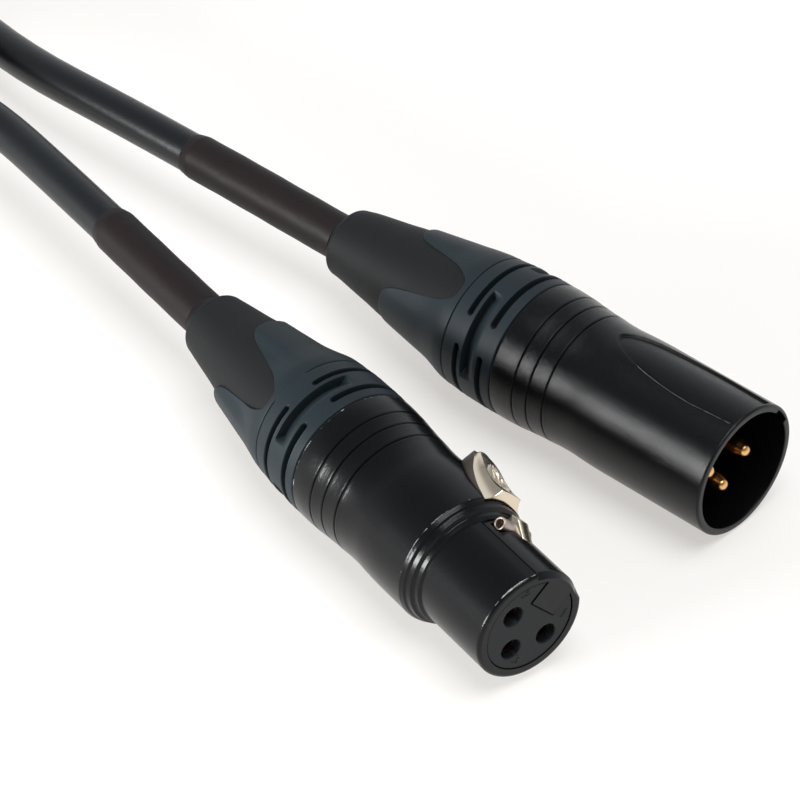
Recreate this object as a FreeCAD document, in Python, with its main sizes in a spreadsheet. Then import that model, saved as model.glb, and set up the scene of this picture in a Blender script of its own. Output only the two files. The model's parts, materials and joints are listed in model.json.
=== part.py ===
"""Microphone cable with a male and a female three-pole connector, lying on a table.

Each connector is drawn in its own frame: x runs from the mating face back along the axis towards the
cable, z points to the key. The placements then roll, tilt and turn each connector to where it lies.
The cable's ends are drawn where they lie, and the rest of its length is wound up in a tied coil.
"""
import FreeCAD, Part
import math
import os
import Sketcher

Vector = FreeCAD.Vector
doc = FreeCAD.newDocument("microphone_cable")

# Driving dimensions, in millimetres and degrees

sheet = doc.addObject("Spreadsheet::Sheet", "Sizes")

CELLS = [
    ("shell_radius", 9.5, "barrel of both shells"),
    ("waist_radius", 9.28, "narrowest place of the shells, in front of the rings"),
    ("rear_radius", 9.95, "rear edge of the shells, the widest place"),
    ("rear_bore", 8.45, "bore behind the insert's seat"),
    ("mouth_radius", 8.25, "bore of the male mouth"),
    ("mouth_depth", 16.5, "male rim to the insert's face"),
    ("male_length", 35.5, "male rim to the shell's rear edge"),
    ("female_length", 38.0, "female face to the shell's rear edge"),
    ("nose_radius", 7.93, "female nose that enters a male mouth"),
    ("nose_bore", 6.6, "bore of the female nose"),
    ("nose_length", 12.2, "female face to the shoulder"),
    ("shoulder_end", 14.6, "female face to the barrel's front edge"),
    ("keyway_radius", 7.72, "floor of the female keyway"),
    ("keyway_angle", 78.0, "width of the female keyway"),
    ("guide_width", 9.6, "width of the male guide rib"),
    ("guide_radius", 7.98, "inner face of the male guide rib"),
    ("pitch_radius", 3.81, "radius of the circle of contacts"),
    ("pin_radius", 1.2, "shaft of a male pin"),
    ("pin_collar", 1.4, "thicker rear of a pin, inside the insert"),
    ("pin_tip", 2.94, "male rim to the pins' tips"),
    ("hole_radius", 1.45, "contact holes in the female face"),
    ("lug_half", 2.5, "half width of the female key lug"),
    ("lug_floor", 2.63, "female axis to the key lug"),
    ("ring_length", 8.8, "slotted ring of the bushing"),
    ("tongue_end", 23.0, "shell's rear edge to the bushing's tongue tips"),
    ("boot_end", 35.7, "shell's rear edge to the end of the boot"),
    ("slot_width", 0.9, "thin slots of the bushing"),
    ("slot_depth", 1.1, "depth of the thin slots"),
    ("slot_angle", 95.0, "length of a thin slot"),
    ("band_angle", 75.0, "length of a wide recess between the slots"),
    ("cable_radius", 2.9, "outer radius of the cable"),
    ("sleeve_radius", 3.28, "outer radius of the shrunk sleeves"),
    ("male_sleeve_end", 100.5, "male rim to the end of the sleeve"),
    ("female_sleeve_end", 97.5, "female face to the end of the sleeve"),
    ("straight_end", 105.0, "mating face to the first bend of the cable"),
    ("cable_length", 3000.0, "whole cable, from boot to boot"),
    ("latch_half", 1.12, "half width of the latch's lever and hook"),
    ("pivot_behind", 27.5, "female face to the latch's pivot"),
    ("pivot_height", 6.2, "female axis to the latch's pivot"),
    ("pivot_radius", 0.8, "pin of the latch's pivot"),
    ("roll_pin_behind", 10.55, "female face to the roll pin"),
    ("roll_pin_height", 7.4, "female axis to the roll pin"),
    ("roll_pin_radius", 0.88, "outside of the roll pin"),
    ("roll_pin_half", 3.9, "half length of the roll pin"),
    ("male_key", 8.4, "roll of the male key from the top towards the left"),
    ("female_key", 46.9, "roll of the female key from the top towards the left"),
    ("female_heading", -12.2, "heading of the female connector"),
    ("male_mouth_at", 36.67, "male mouth, along x"),
    ("male_line_at", 19.245, "male axis, along y"),
    ("female_face_ahead", -1.06, "female face past the male mouth, along x"),
    ("female_face_aside", -40.8, "female face beside the male axis, along y"),
    ("male_slot", -66.0, "roll of the male bushing's recesses from the key towards the left"),
    ("male_opening", -39.4, "roll of the male bushing's openings from the key towards the left"),
    ("female_slot", -73.6, "roll of the female bushing's recesses from the key towards the left"),
    ("female_opening", -93.9, "roll of the female bushing's openings from the key towards the left"),
    ("coil_ahead", -201.3, "coil's centre past the male mouth, along x"),
    ("coil_aside", -18.5, "coil's centre beside the male axis, along y"),
    ("coil_layers", 4, "layers of turns in the coil"),
    ("coil_turns", 14.736, "turns in the coil"),
    ("turn_pitch", 5.9, "distance between neighbouring turns"),
]
for row, (alias, number, note) in enumerate(CELLS, 1):
    sheet.set("A%d" % row, note)
    sheet.set("B%d" % row, str(number))
    sheet.setAlias("B%d" % row, alias)
doc.recompute()


class Size:
    """A length together with the sheet expression that it comes from."""

    def __init__(self, text, value):
        self.text = text
        self.value = value

    def joined(self, sign, other, value):
        return Size("(%s %s %s)" % (self.text, sign, size(other).text), value)

    def __add__(self, other):
        return self.joined("+", other, self.value + size(other).value)

    def __sub__(self, other):
        return self.joined("-", other, self.value - size(other).value)

    def __mul__(self, other):
        return self.joined("*", other, self.value * size(other).value)

    def __neg__(self):
        return Size("(0 - %s)" % self.text, -self.value)

    __radd__ = __add__
    __rmul__ = __mul__


def size(number):
    """A Size from a plain number."""
    if isinstance(number, Size):
        return number
    return Size(repr(float(number)), float(number))


def cell(alias):
    """The Size of a cell of the sheet."""
    return Size("Sizes." + alias, float(sheet.get(alias)))


def bind(item, prop, number):
    """Set a property, and bind it to the sheet where it comes from there."""
    if isinstance(number, Size):
        item.setExpression(prop, number.text)
    else:
        setattr(item, prop, number)


# Sketches and features

def plane_of(body, role):
    return [part for part in body.Origin.OriginFeatures if part.Role == role][0]


def draw_outline(sketch, points):
    """A closed outline. A point is (across, up) or (across, up, rise), where rise bows the edge that
    leads to the point into an arc that stands that far to the left of its chord."""
    edges = []
    for index, point in enumerate(points):
        start = [size(value).value for value in points[index - 1][:2]]
        end = [size(value).value for value in point[:2]]
        rise = point[2] if len(point) > 2 else 0.0
        if not rise:
            line = Part.LineSegment(Vector(start[0], start[1], 0), Vector(end[0], end[1], 0))
            edges.append((sketch.addGeometry(line), 1, 2))
            continue
        chord = math.hypot(end[0] - start[0], end[1] - start[1])
        radius = (chord * chord / 4 + rise * rise) / (2 * abs(rise))
        side = math.copysign(1.0, rise)
        away = side * (radius - abs(rise))
        left = (-(end[1] - start[1]) / chord, (end[0] - start[0]) / chord)
        centre = ((start[0] + end[0]) / 2 - left[0] * away, (start[1] + end[1]) / 2 - left[1] * away)
        angles = [math.atan2(spot[1] - centre[1], spot[0] - centre[0]) for spot in (start, end)]
        if side > 0:
            angles.reverse()
        if angles[1] < angles[0]:
            angles[1] += 2 * math.pi
        circle = Part.Circle(Vector(centre[0], centre[1], 0), Vector(0, 0, 1), radius)
        arc = sketch.addGeometry(Part.ArcOfCircle(circle, angles[0], angles[1]))
        edges.append((arc, 2, 1) if side > 0 else (arc, 1, 2))
        sketch.addConstraint(Sketcher.Constraint("Radius", arc, radius))
    for index, point in enumerate(points):
        arriving = edges[index]
        leaving = edges[(index + 1) % len(edges)]
        sketch.addConstraint(Sketcher.Constraint("Coincident", arriving[0], arriving[2],
                                                 leaving[0], leaving[1]))
        for kind, axis, value in (("DistanceX", -2, point[0]), ("DistanceY", -1, point[1])):
            number = size(value).value
            if abs(number) < 1e-9:
                sketch.addConstraint(Sketcher.Constraint("PointOnObject", leaving[0], leaving[1], axis))
                continue
            made = sketch.addConstraint(Sketcher.Constraint(kind, -1, 1, leaving[0], leaving[1], number))
            if isinstance(value, Size):
                sketch.setExpression("Constraints[%d]" % made, value.text)


def draw_circle(sketch, across, up, radius):
    """A circle that keeps its place and its radius."""
    centre = Vector(size(across).value, size(up).value, 0)
    circle = sketch.addGeometry(Part.Circle(centre, Vector(0, 0, 1), size(radius).value))
    for kind, axis, value in (("DistanceX", -2, across), ("DistanceY", -1, up)):
        if abs(size(value).value) < 1e-9:
            sketch.addConstraint(Sketcher.Constraint("PointOnObject", circle, 3, axis))
            continue
        made = sketch.addConstraint(Sketcher.Constraint(kind, -1, 1, circle, 3, size(value).value))
        if isinstance(value, Size):
            sketch.setExpression("Constraints[%d]" % made, value.text)
    made = sketch.addConstraint(Sketcher.Constraint("Radius", circle, size(radius).value))
    if isinstance(radius, Size):
        sketch.setExpression("Constraints[%d]" % made, radius.text)


def sketch_in(body, role, outlines=(), circles=(), away=0.0, turned=0.0):
    """A sketch on one of the body's own planes, away along its normal, turned about its first axis."""
    sketch = body.newObject("Sketcher::SketchObject", "Sketch")
    sketch.AttachmentSupport = [(plane_of(body, role), "")]
    sketch.MapMode = "FlatFace"
    turn = FreeCAD.Rotation(Vector(1, 0, 0), turned)
    sketch.AttachmentOffset = FreeCAD.Placement(Vector(0, 0, size(away).value), turn)
    if isinstance(away, Size):
        sketch.setExpression("AttachmentOffset.Base.z", away.text)
    for points in outlines:
        draw_outline(sketch, points)
    for across, up, radius in circles:
        draw_circle(sketch, across, up, radius)
    return sketch


def new_body(label):
    body = doc.addObject("PartDesign::Body", label)
    body.Label = label
    return body


def turn_round(body, kind, points, angle=360.0, turned=0.0):
    """Revolve an outline of (x, radius) points about the body's x axis, or cut it away."""
    sketch = sketch_in(body, "XZ_Plane", [points], turned=turned)
    feature = body.newObject("PartDesign::" + kind, kind)
    feature.Profile = sketch
    feature.ReferenceAxis = (sketch, ["H_Axis"])
    feature.Midplane = size(angle).value < 360.0
    bind(feature, "Angle", angle)
    body.Tip = feature
    return feature


def push(body, kind, sketch, length, both=False, reversed=False):
    """Pad or pocket a sketch along its normal, or half to each side of it."""
    if kind == "Pocket":
        doc.recompute()
        before = body.Shape.Volume
    feature = body.newObject("PartDesign::" + kind, kind)
    feature.Profile = sketch
    bind(feature, "Length", length)
    feature.Midplane = both
    feature.Reversed = reversed != (kind == "Pocket")
    body.Tip = feature
    if kind == "Pocket":
        doc.recompute()
        if before - body.Shape.Volume < 1e-3:
            raise RuntimeError("a pocket of %s removes nothing" % body.Label)
    return feature


def around(body, features, count):
    """Repeat features round the x axis."""
    pattern = body.newObject("PartDesign::PolarPattern", "Around")
    pattern.Originals = features
    pattern.Axis = ([part for part in body.Origin.OriginFeatures if part.Role == "X_Axis"][0], [""])
    pattern.Angle = 360
    pattern.Occurrences = count
    body.Tip = pattern
    return pattern


def cut(label, base, tool):
    """What is left of one solid outside another."""
    result = doc.addObject("Part::Cut", label)
    result.Label = label
    result.Base = base
    result.Tool = tool
    return result


# Where the two connectors lie

def lying(front_at, rear_at):
    """Tilt and height at the mating face of a connector that rests on two rims."""
    spread = size(rear_at).value - size(front_at).value
    rise = cell("rear_radius").value - cell("shell_radius").value
    tilt = math.degrees(math.atan2(rise, spread))
    height = cell("shell_radius").value * math.cos(math.radians(tilt))
    height += 0.01 - size(front_at).value * math.sin(math.radians(tilt))
    return tilt, height


def resting_place(x, y, heading, key, front_at, rear_at):
    tilt, height = lying(front_at, rear_at)
    return FreeCAD.Placement(Vector(x, y, height), FreeCAD.Rotation(heading + 180.0, -tilt, key))


MALE = resting_place(cell("male_mouth_at").value, cell("male_line_at").value, 0.0,
                     cell("male_key").value, 0.5, cell("male_length"))
FEMALE = resting_place(cell("male_mouth_at").value + cell("female_face_ahead").value,
                       cell("male_line_at").value + cell("female_face_aside").value,
                       cell("female_heading").value, cell("female_key").value,
                       cell("shoulder_end") + 0.4, cell("female_length"))

nodes = []


def keep(item, place):
    """Give a finished piece its place and put it on the list of pieces."""
    item.Placement = place
    nodes.append(item)
    return item


# Ribbed rear of the shells: three fine grooves that climb the flare

GROOVES = ((-8.8, 9.44), (-6.2, 9.58), (-3.85, 9.77))
GROOVE_HALF = 0.16
GROOVE_DEPTH = 0.3


def flared_rear(length):
    """Outline points from the waist to the rear edge, along the outside."""
    points = [(length - 12.1, cell("waist_radius"), 0.02)]
    for behind, radius in GROOVES:
        points.append((length + (behind - GROOVE_HALF), radius - 0.03, -0.02))
        points.append((length + behind, radius - GROOVE_DEPTH))
        points.append((length + (behind + GROOVE_HALF), radius + 0.06))
    points.append((length - 0.25, cell("rear_radius"), 0.02))
    points.append((length, cell("rear_radius") - 0.2))
    return points


# Male connector

def male_shell():
    length = cell("male_length")
    radius = cell("shell_radius")
    body = new_body("male_shell_turned")
    outline = [(0, cell("mouth_radius") + 0.3), (0, radius - 0.45), (0.45, radius, 0.14), (length - 17.5, radius)]
    outline += flared_rear(length)
    outline += [(length, cell("rear_bore")), (cell("mouth_depth"), cell("rear_bore")),
                (cell("mouth_depth"), cell("mouth_radius")), (0.3, cell("mouth_radius"))]
    turn_round(body, "Revolution", outline)
    # finger recess over the key: a spade outline cut down to a round floor
    spade = new_body("male_recess")
    widest = 4.2
    outline = [(0.95, -3.75), (17.8, -widest), (17.8, widest, -4.0), (0.95, 3.75)]
    push(spade, "Pad", sketch_in(spade, "XY_Plane", [outline]), 12.0)
    floor = doc.addObject("Part::Cylinder", "male_recess_floor")
    bind(floor, "Radius", cell("shell_radius") - 0.35)
    bind(floor, "Height", cell("male_length"))
    floor.Placement = FreeCAD.Placement(Vector(), FreeCAD.Rotation(Vector(0, 1, 0), 90))
    recess = cut("male_recess_tool", spade, floor)
    # guide rib along the inner wall, from just behind the rim to the insert
    half = cell("guide_width") * 0.5
    inner = cell("guide_radius")
    reach = cell("mouth_radius") + 0.4
    corner = math.sqrt(reach.value ** 2 - half.value ** 2)
    low = math.sqrt(inner.value ** 2 - half.value ** 2)
    outline = [(-half, low), (half, low, inner.value - low), (half, corner),
               (-half, corner, -(reach.value - corner))]
    rib = sketch_in(body, "YZ_Plane", [outline], away=1.4)
    push(body, "Pad", rib, cell("mouth_depth") - 1.4)
    return cut("male_shell", body, recess)


def male_insert():
    body = new_body("male_insert")
    front = cell("mouth_depth")
    seat = cell("rear_bore") - 0.03
    outline = [(front, 0), (front, seat), (front + 3.0, seat), (front + 3.0, 7.2), (front + 8.0, 7.2),
               (front + 8.0, 0)]
    turn_round(body, "Revolution", outline)
    # holes that grip the pins' thicker rears
    holes = [(y, z, cell("pin_collar")) for y, z in contact_spots()]
    push(body, "Pocket", sketch_in(body, "YZ_Plane", circles=holes, away=front - 0.5), 20.0)
    return body


def contact_spots():
    """Where the three contacts stand, seen from the rear: (y, z) of poles 1, 2 and 3."""
    pitch = cell("pitch_radius")
    return [(-pitch, 0), (pitch, 0), (0, -pitch)]


def male_pin(number, spot):
    """A turned pin: domed tip, shaft, thicker rear that sits in the insert, and a cup for the wire."""
    body = new_body("male_pin_%d" % number)
    tip = cell("pin_tip")
    radius = cell("pin_radius")
    face = cell("mouth_depth")
    collar = cell("pin_collar")
    cup_rear = face + 11.5
    turn_round(body, "Revolution", [(tip, 0), (tip, 0.3), (tip + 0.7, 0.95, 0.13), (tip + 1.6, radius),
                                    (face - 0.04, radius), (face + 0.02, collar), (face + 8.4, collar),
                                    (face + 8.6, radius), (cup_rear, radius), (cup_rear, 0.8),
                                    (cup_rear - 3.2, 0.8), (cup_rear - 3.2, 0)])
    slope = [(cup_rear - 2.6, 0.35), (cup_rear + 0.5, 0.35), (cup_rear + 0.5, 1.6), (cup_rear - 2.0, 1.6)]
    push(body, "Pocket", sketch_in(body, "XZ_Plane", [slope]), 4.0, both=True)
    return body, spot


# Female connector

def female_shell():
    length = cell("female_length")
    radius = cell("shell_radius")
    nose = cell("nose_radius")
    step = cell("nose_length")
    body = new_body("female_shell_turned")
    outline = [(0, cell("nose_bore")), (0, nose - 0.6), (0.6, nose, 0.18), (step, nose), (step + 0.25, nose + 0.35),
               (step + 0.9, nose + 0.45), (step + 1.15, nose + 0.95), (step + 1.75, nose + 1.1),
               (cell("shoulder_end"), radius - 0.12), (cell("shoulder_end") + 0.2, radius), (length - 12.6, radius)]
    outline += flared_rear(length)
    outline += [(length, cell("rear_bore")), (cell("shoulder_end") + 0.2, cell("rear_bore")),
                (cell("shoulder_end") + 0.2, cell("nose_bore"))]
    turn_round(body, "Revolution", outline)
    # keyway: a shallow band over the key that ends in a lead-in slope at the face
    keyway = [(-0.5, 7.0), (0, 7.0), (1.5, cell("keyway_radius")), (step - 0.05, cell("keyway_radius")),
              (step - 0.05, 9.0), (-0.5, 9.0)]
    turn_round(body, "Groove", keyway, angle=cell("keyway_angle"))
    # key lug that fills the insert's notch and carries the latch's nose
    half = cell("lug_half")
    lug = [(-half, cell("lug_floor")), (half, cell("lug_floor")), (half, 6.6), (-half, 6.6)]
    push(body, "Pad", sketch_in(body, "YZ_Plane", [lug]), cell("shoulder_end"))
    # cheeks that carry the latch's pivot
    cheek = cell("pivot_behind")
    for side in (-1, 1):
        block = [(cheek - 2.2, 4.4), (cheek + 2.2, 4.4), (cheek + 2.2, 8.6), (cheek - 2.2, 8.6)]
        ears = sketch_in(body, "XZ_Plane", [block], away=1.35 * side)
        push(body, "Pad", ears, 1.15, reversed=side < 0)
    # run of the latch: open over the nose, closed under the shoulder, open again behind it
    run = cell("latch_half") + 0.12
    channel = [(-run, 3.3), (run, 3.3), (run, 7.78), (-run, 7.78)]
    push(body, "Pocket", sketch_in(body, "YZ_Plane", [channel], away=7.85), 8.0)
    slot = [(7.85, -run), (step + 0.05, -run), (step + 0.05, run), (7.85, run)]
    push(body, "Pocket", sketch_in(body, "XY_Plane", [slot], away=7.0), 3.0)
    # trough across the nose for the roll pin
    pin_at = cell("roll_pin_behind")
    wide = cell("roll_pin_radius") + 0.17
    trough = [(pin_at - wide, -4.1), (pin_at + wide, -4.1), (pin_at + wide, 4.1), (pin_at - wide, 4.1)]
    push(body, "Pocket", sketch_in(body, "XY_Plane", [trough], away=5.15), 5.0)
    # window for the thumb button, round at the rear
    window = [(14.15, -4.45), (16.7, -4.15), (19.2, -3.65), (21.0, -2.95), (24.15, 0, -0.75), (21.0, 2.95, -0.75),
              (19.2, 3.65), (16.7, 4.15), (14.15, 4.45)]
    push(body, "Pocket", sketch_in(body, "XY_Plane", [window], away=6.85), 4.7)
    pivot = [(cheek, cell("pivot_height"), cell("pivot_radius"))]
    push(body, "Pocket", sketch_in(body, "XZ_Plane", circles=pivot), 5.2, both=True)
    body.Label = "female_shell"
    return body


DIGITS = (
    # where it stands, seen from the rear, and its outline seen from the front, edges bowed as in a sketch
    (-4.15, 3.4, [(0.12, -0.65), (0.12, 0.65), (-0.08, 0.65), (-0.38, 0.38), (-0.26, 0.24), (-0.1, 0.38),
                  (-0.1, -0.65)]),
    (4.45, 3.3, [(-0.45, -0.65), (0.45, -0.65), (0.45, -0.44), (-0.1, -0.44), (0.36, 0.08),
                 (-0.42, 0.24, -0.38), (-0.2, 0.22), (0.15, 0.08, 0.17), (-0.45, -0.45)]),
    (-2.3, -4.7, [(-0.38, 0.65), (-0.38, 0.47), (0.12, 0.47), (-0.1, 0.1), (-0.26, -0.3, 0.2),
                  (-0.4, -0.42), (0.1, 0.18, -0.38), (0.38, 0.48), (0.38, 0.65)]),
)


def female_insert():
    body = new_body("female_insert")
    flange = cell("shoulder_end") + 0.25
    outer = cell("nose_bore") - 0.03
    outline = [(0.15, 0), (0.15, outer), (flange, outer), (flange, 8.3), (flange + 2.5, 8.3),
               (flange + 2.5, 6.8), (flange + 10.0, 6.8), (flange + 10.0, 0)]
    turn_round(body, "Revolution", outline)
    # raised numbers beside the contacts
    for y, z, points in DIGITS:
        turned = [(y - spot[0], z + spot[1]) + tuple(-rise for rise in spot[2:]) for spot in points]
        push(body, "Pad", sketch_in(body, "YZ_Plane", [turned], away=0.03), 0.5)
    # notch for the key lug, and the wider way of the latch behind it
    half = cell("lug_half") + 0.03
    notch = [(-half, cell("lug_floor") - 0.03), (half, cell("lug_floor") - 0.03), (half, 9.0), (-half, 9.0)]
    push(body, "Pocket", sketch_in(body, "YZ_Plane", [notch], away=0.0), 30.0)
    way = [(flange - 0.5, -4.7), (flange + 12, -4.7), (flange + 12, 4.7), (flange - 0.5, 4.7)]
    push(body, "Pocket", sketch_in(body, "XY_Plane", [way], away=5.4), 5.0)
    pin_at = cell("roll_pin_behind")
    dip = [(pin_at - 1.1, -4.2), (pin_at + 1.1, -4.2), (pin_at + 1.1, 4.2), (pin_at - 1.1, 4.2)]
    push(body, "Pocket", sketch_in(body, "XY_Plane", [dip], away=5.1), 5.0)
    mouths = [(y, z, cell("hole_radius")) for y, z in contact_spots()]
    push(body, "Pocket", sketch_in(body, "YZ_Plane", circles=mouths, away=0.0), 1.6)
    seats = [(y, z, 1.75) for y, z in contact_spots()]
    push(body, "Pocket", sketch_in(body, "YZ_Plane", circles=seats, away=1.4), 30.0)
    return body


def female_socket(number, spot):
    """A sprung socket: bored tube with two slits, and a cup for the wire."""
    body = new_body("female_socket_%d" % number)
    front = 1.45
    rear = 28.0
    turn_round(body, "Revolution", [(front, 1.23), (front, 1.72), (18.0, 1.72), (18.0, 1.3), (rear, 1.3),
                                    (rear, 0.85), (rear - 3.2, 0.85), (rear - 3.2, 0), (15.0, 0),
                                    (14.5, 1.23)])
    slit = [(front - 0.5, -0.2), (9.0, -0.2), (9.0, 0.2), (front - 0.5, 0.2)]
    push(body, "Pocket", sketch_in(body, "XZ_Plane", [slit]), 4.0, both=True)
    slope = [(rear - 2.6, 0.4), (rear + 0.5, 0.4), (rear + 0.5, 1.6), (rear - 2.0, 1.6)]
    push(body, "Pocket", sketch_in(body, "XZ_Plane", [slope]), 4.0, both=True)
    return body, spot


BUTTON = (
    # x, half width of the skirt, half width of the top, height of the edges, height of the middle
    (14.55, 4.05, 2.2, 10.35, 10.58),
    (16.5, 3.75, 2.25, 10.35, 10.45),
    (18.6, 3.4, 2.2, 10.75, 10.85),
    (20.6, 2.75, 1.75, 11.25, 11.45),
    (22.2, 1.75, 0.95, 11.5, 11.75),
    (23.6, 0.75, 0.4, 10.0, 10.1),
)


def button_section(x, skirt, top, edge, middle):
    """One cross-section of the thumb button: upright skirt, hollow flanks, crowned top."""
    low = 7.9
    hip = math.sqrt(cell("shell_radius").value ** 2 - skirt ** 2) + 0.05
    flank = Vector(x, (skirt + top) / 2 - 0.28, (hip + edge) / 2 - 0.28)
    right = [Vector(x, skirt, low), Vector(x, skirt, hip), flank, Vector(x, top, edge)]
    left = [Vector(x, -spot.y, spot.z) for spot in reversed(right)]
    crown = Part.Arc(right[3], Vector(x, 0, middle), left[0]).toShape()
    edges = [Part.makeLine(right[0], right[1]), Part.Arc(right[1], right[2], right[3]).toShape(), crown,
             Part.Arc(left[0], left[1], left[2]).toShape(), Part.makeLine(left[2], left[3]),
             Part.makeLine(left[3], right[0])]
    return Part.Wire(edges)


def female_latch():
    """The push latch: lofted thumb button on a bar, hook at the nose, eye at the rear, and a finger
    hollow with ribs along its floor."""
    bar = new_body("latch_bar")
    half = cell("latch_half")
    pin_at = cell("roll_pin_behind")
    pin_up = cell("roll_pin_height")
    eye_at = cell("pivot_behind")
    eye_up = cell("pivot_height")
    profile = [(8.15, 6.2), (8.15, 7.55), (pin_at + 0.1, 8.9), (12.0, 8.8), (12.05, 7.4), (22.5, 7.4),
               (eye_at - 1.3, eye_up + 1.0), (eye_at + 1.5, eye_up + 0.6, 1.0), (eye_at + 1.5, eye_up - 0.6, 0.35),
               (eye_at - 1.0, eye_up - 1.4, 0.45), (22.0, 5.0), (14.0, 5.2), (12.6, 6.0)]
    push(bar, "Pad", sketch_in(bar, "XZ_Plane", [profile]), half * 2, both=True)
    holes = [(pin_at, pin_up, cell("roll_pin_radius")), (eye_at, eye_up, cell("pivot_radius") + 0.06)]
    push(bar, "Pocket", sketch_in(bar, "XZ_Plane", circles=holes), 4.0, both=True)
    button = doc.addObject("Part::Feature", "latch_button")
    button.Shape = Part.makeLoft([button_section(*row) for row in BUTTON], True, False)
    # stem that joins the button to the bar
    stem = doc.addObject("Part::Box", "latch_stem")
    stem.Length = 7.0
    bind(stem, "Width", half * 2)
    stem.Height = 3.0
    stem.Placement = FreeCAD.Placement(Vector(14.7, -half.value, 6.4), FreeCAD.Rotation())
    # finger hollow in the top of the button, and its ribs
    hollow = doc.addObject("Part::Sphere", "latch_hollow")
    hollow.Radius = 9.0
    hollow.Placement = FreeCAD.Placement(Vector(17.6, 0, 10.05 + 9.0), FreeCAD.Rotation())
    hollowed = cut("latch_button_hollowed", button, hollow)
    ribs = []
    for number in range(5):
        rib = doc.addObject("Part::Box", "latch_rib_%d" % number)
        rib.Length = 4.4
        rib.Width = 0.3
        rib.Height = 0.9
        rib.Placement = FreeCAD.Placement(Vector(15.4, 0.75 * (number - 2) - 0.15, 9.42), FreeCAD.Rotation())
        ribs.append(rib)
    whole = doc.addObject("Part::MultiFuse", "female_latch")
    whole.Label = "female_latch"
    whole.Shapes = [bar, stem, hollowed] + ribs
    return whole


def female_roll_pin():
    """Hollow pin pressed across the latch's nose."""
    body = new_body("female_roll_pin")
    ring = [(cell("roll_pin_behind"), cell("roll_pin_height"), cell("roll_pin_radius")),
            (cell("roll_pin_behind"), cell("roll_pin_height"), 0.62)]
    push(body, "Pad", sketch_in(body, "XZ_Plane", circles=ring), cell("roll_pin_half") * 2, both=True)
    return body


def female_latch_pivot():
    body = new_body("female_latch_pivot")
    spot = [(cell("pivot_behind"), cell("pivot_height"), cell("pivot_radius"))]
    push(body, "Pad", sketch_in(body, "XZ_Plane", circles=spot), 5.0, both=True)
    return body


def female_latch_spring():
    """Leaf spring that lifts the latch: foot on the insert, tip under the bar."""
    body = new_body("female_latch_spring")
    leaf = [(24.5, 2.62), (24.5, 2.87), (20.5, 2.87), (17.2, 4.93, -0.35), (16.4, 4.95, -0.12), (16.1, 4.7),
            (17.0, 4.68, 0.12), (20.3, 2.62, 0.35)]
    push(body, "Pad", sketch_in(body, "XZ_Plane", [leaf]), 1.8, both=True)
    return body


# Rear group, alike on both connectors: chuck, bushing, boot, wires, cable and sleeve

def chuck(name, rear):
    """Slit collet with inner teeth that the bushing squeezes on to the cable."""
    body = new_body(name + "_chuck")
    bore = cell("cable_radius") + 0.02
    outline = [(rear - 5.0, 4.6), (rear - 5.0, 7.3), (rear - 1.0, 7.3), (rear + 7.5, 4.9), (rear + 7.5, bore)]
    for tooth in range(4):
        at = rear + (6.6 - 1.3 * tooth)
        outline += [(at, bore), (at - 0.35, bore + 0.4), (at - 0.7, bore + 0.4), (at - 0.8, bore)]
    outline.append((rear - 1.5, bore))
    turn_round(body, "Revolution", outline)
    slit = [(rear - 3.0, 1.0), (rear + 8.0, 1.0), (rear + 8.0, 8.0), (rear - 3.0, 8.0)]
    first = push(body, "Pocket", sketch_in(body, "XZ_Plane", [slit]), 0.9, both=True)
    around(body, [first], 4)
    return body


def bushing_tool(name, rear, phase):
    """One of the three round-ended openings between the tongues, as a solid to cut with."""
    body = new_body(name + "_scallop")
    opening = [(rear + 12.9, -3.05, 2.95), (rear + 18.7, -3.46), (rear + 21.3, -4.7, 0.2),
               (rear + 22.8, -6.0, 0.15), (rear + 30.0, -14.0), (rear + 30.0, 14.0), (rear + 22.8, 6.0),
               (rear + 21.3, 4.7, 0.15), (rear + 18.7, 3.46, 0.2), (rear + 12.9, 3.05)]
    push(body, "Pad", sketch_in(body, "XY_Plane", [opening], away=3.0), 9.0)
    body.Placement = FreeCAD.Placement(Vector(), FreeCAD.Rotation(Vector(1, 0, 0), phase))
    return body


def bushing(name, rear, slot_phase, tongue_phase):
    """Neck, slotted ring and tapering skin that ends in three tongues."""
    body = new_body(name + "_bushing_turned")
    wide = cell("rear_radius")
    ring = cell("ring_length")
    end = cell("tongue_end")
    neck = cell("rear_bore") - 0.05
    outline = [(rear - 4.5, 7.45), (rear - 4.5, neck), (rear + 0.05, neck), (rear + 0.05, wide - 0.2),
               (rear + 0.3, wide), (rear + 5.5, wide - 0.05), (rear + ring, 9.62, 0.06),
               (rear + ring + 0.12, 9.45), (rear + ring + 0.24, 9.62), (rear + 16.5, 8.5, 0.12),
               (rear + 19.5, 7.62, -0.02), (rear + end, 7.05, -0.03), (rear + end, 6.1), (rear + 16.5, 7.3),
               (rear + 9.2, 8.3), (rear + 9.2, 5.0), (rear - 0.5, 7.45)]
    turn_round(body, "Revolution", outline)
    # two rows of thin slots, and the wide recesses between them
    width = cell("slot_width") * 0.5
    depth = cell("slot_depth")
    cuts = []
    for at in (2.1, 6.3):
        row = [(rear + at - width, wide - depth), (rear + at + width, wide - depth), (rear + at + width, 11.0),
               (rear + at - width, 11.0)]
        cuts.append(turn_round(body, "Groove", row, angle=cell("slot_angle"), turned=slot_phase + 60.0))
    band = [(rear + 3.2, wide - 0.35), (rear + 5.2, wide - 0.35), (rear + 5.2, 11.0), (rear + 3.2, 11.0)]
    cuts.append(turn_round(body, "Groove", band, angle=cell("band_angle"), turned=slot_phase))
    around(body, cuts, 3)
    current = body
    for number in range(3):
        tool = bushing_tool("%s_%d" % (name, number), rear, tongue_phase + 120.0 * number)
        current = cut("%s_skin_%d" % (name, number), current, tool)
    return current


def copied(label, item):
    """A piece that shares another object's shape and has a place of its own."""
    copy = doc.addObject("Part::Compound", label)
    copy.Label = label
    copy.Links = [item]
    return copy


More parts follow.
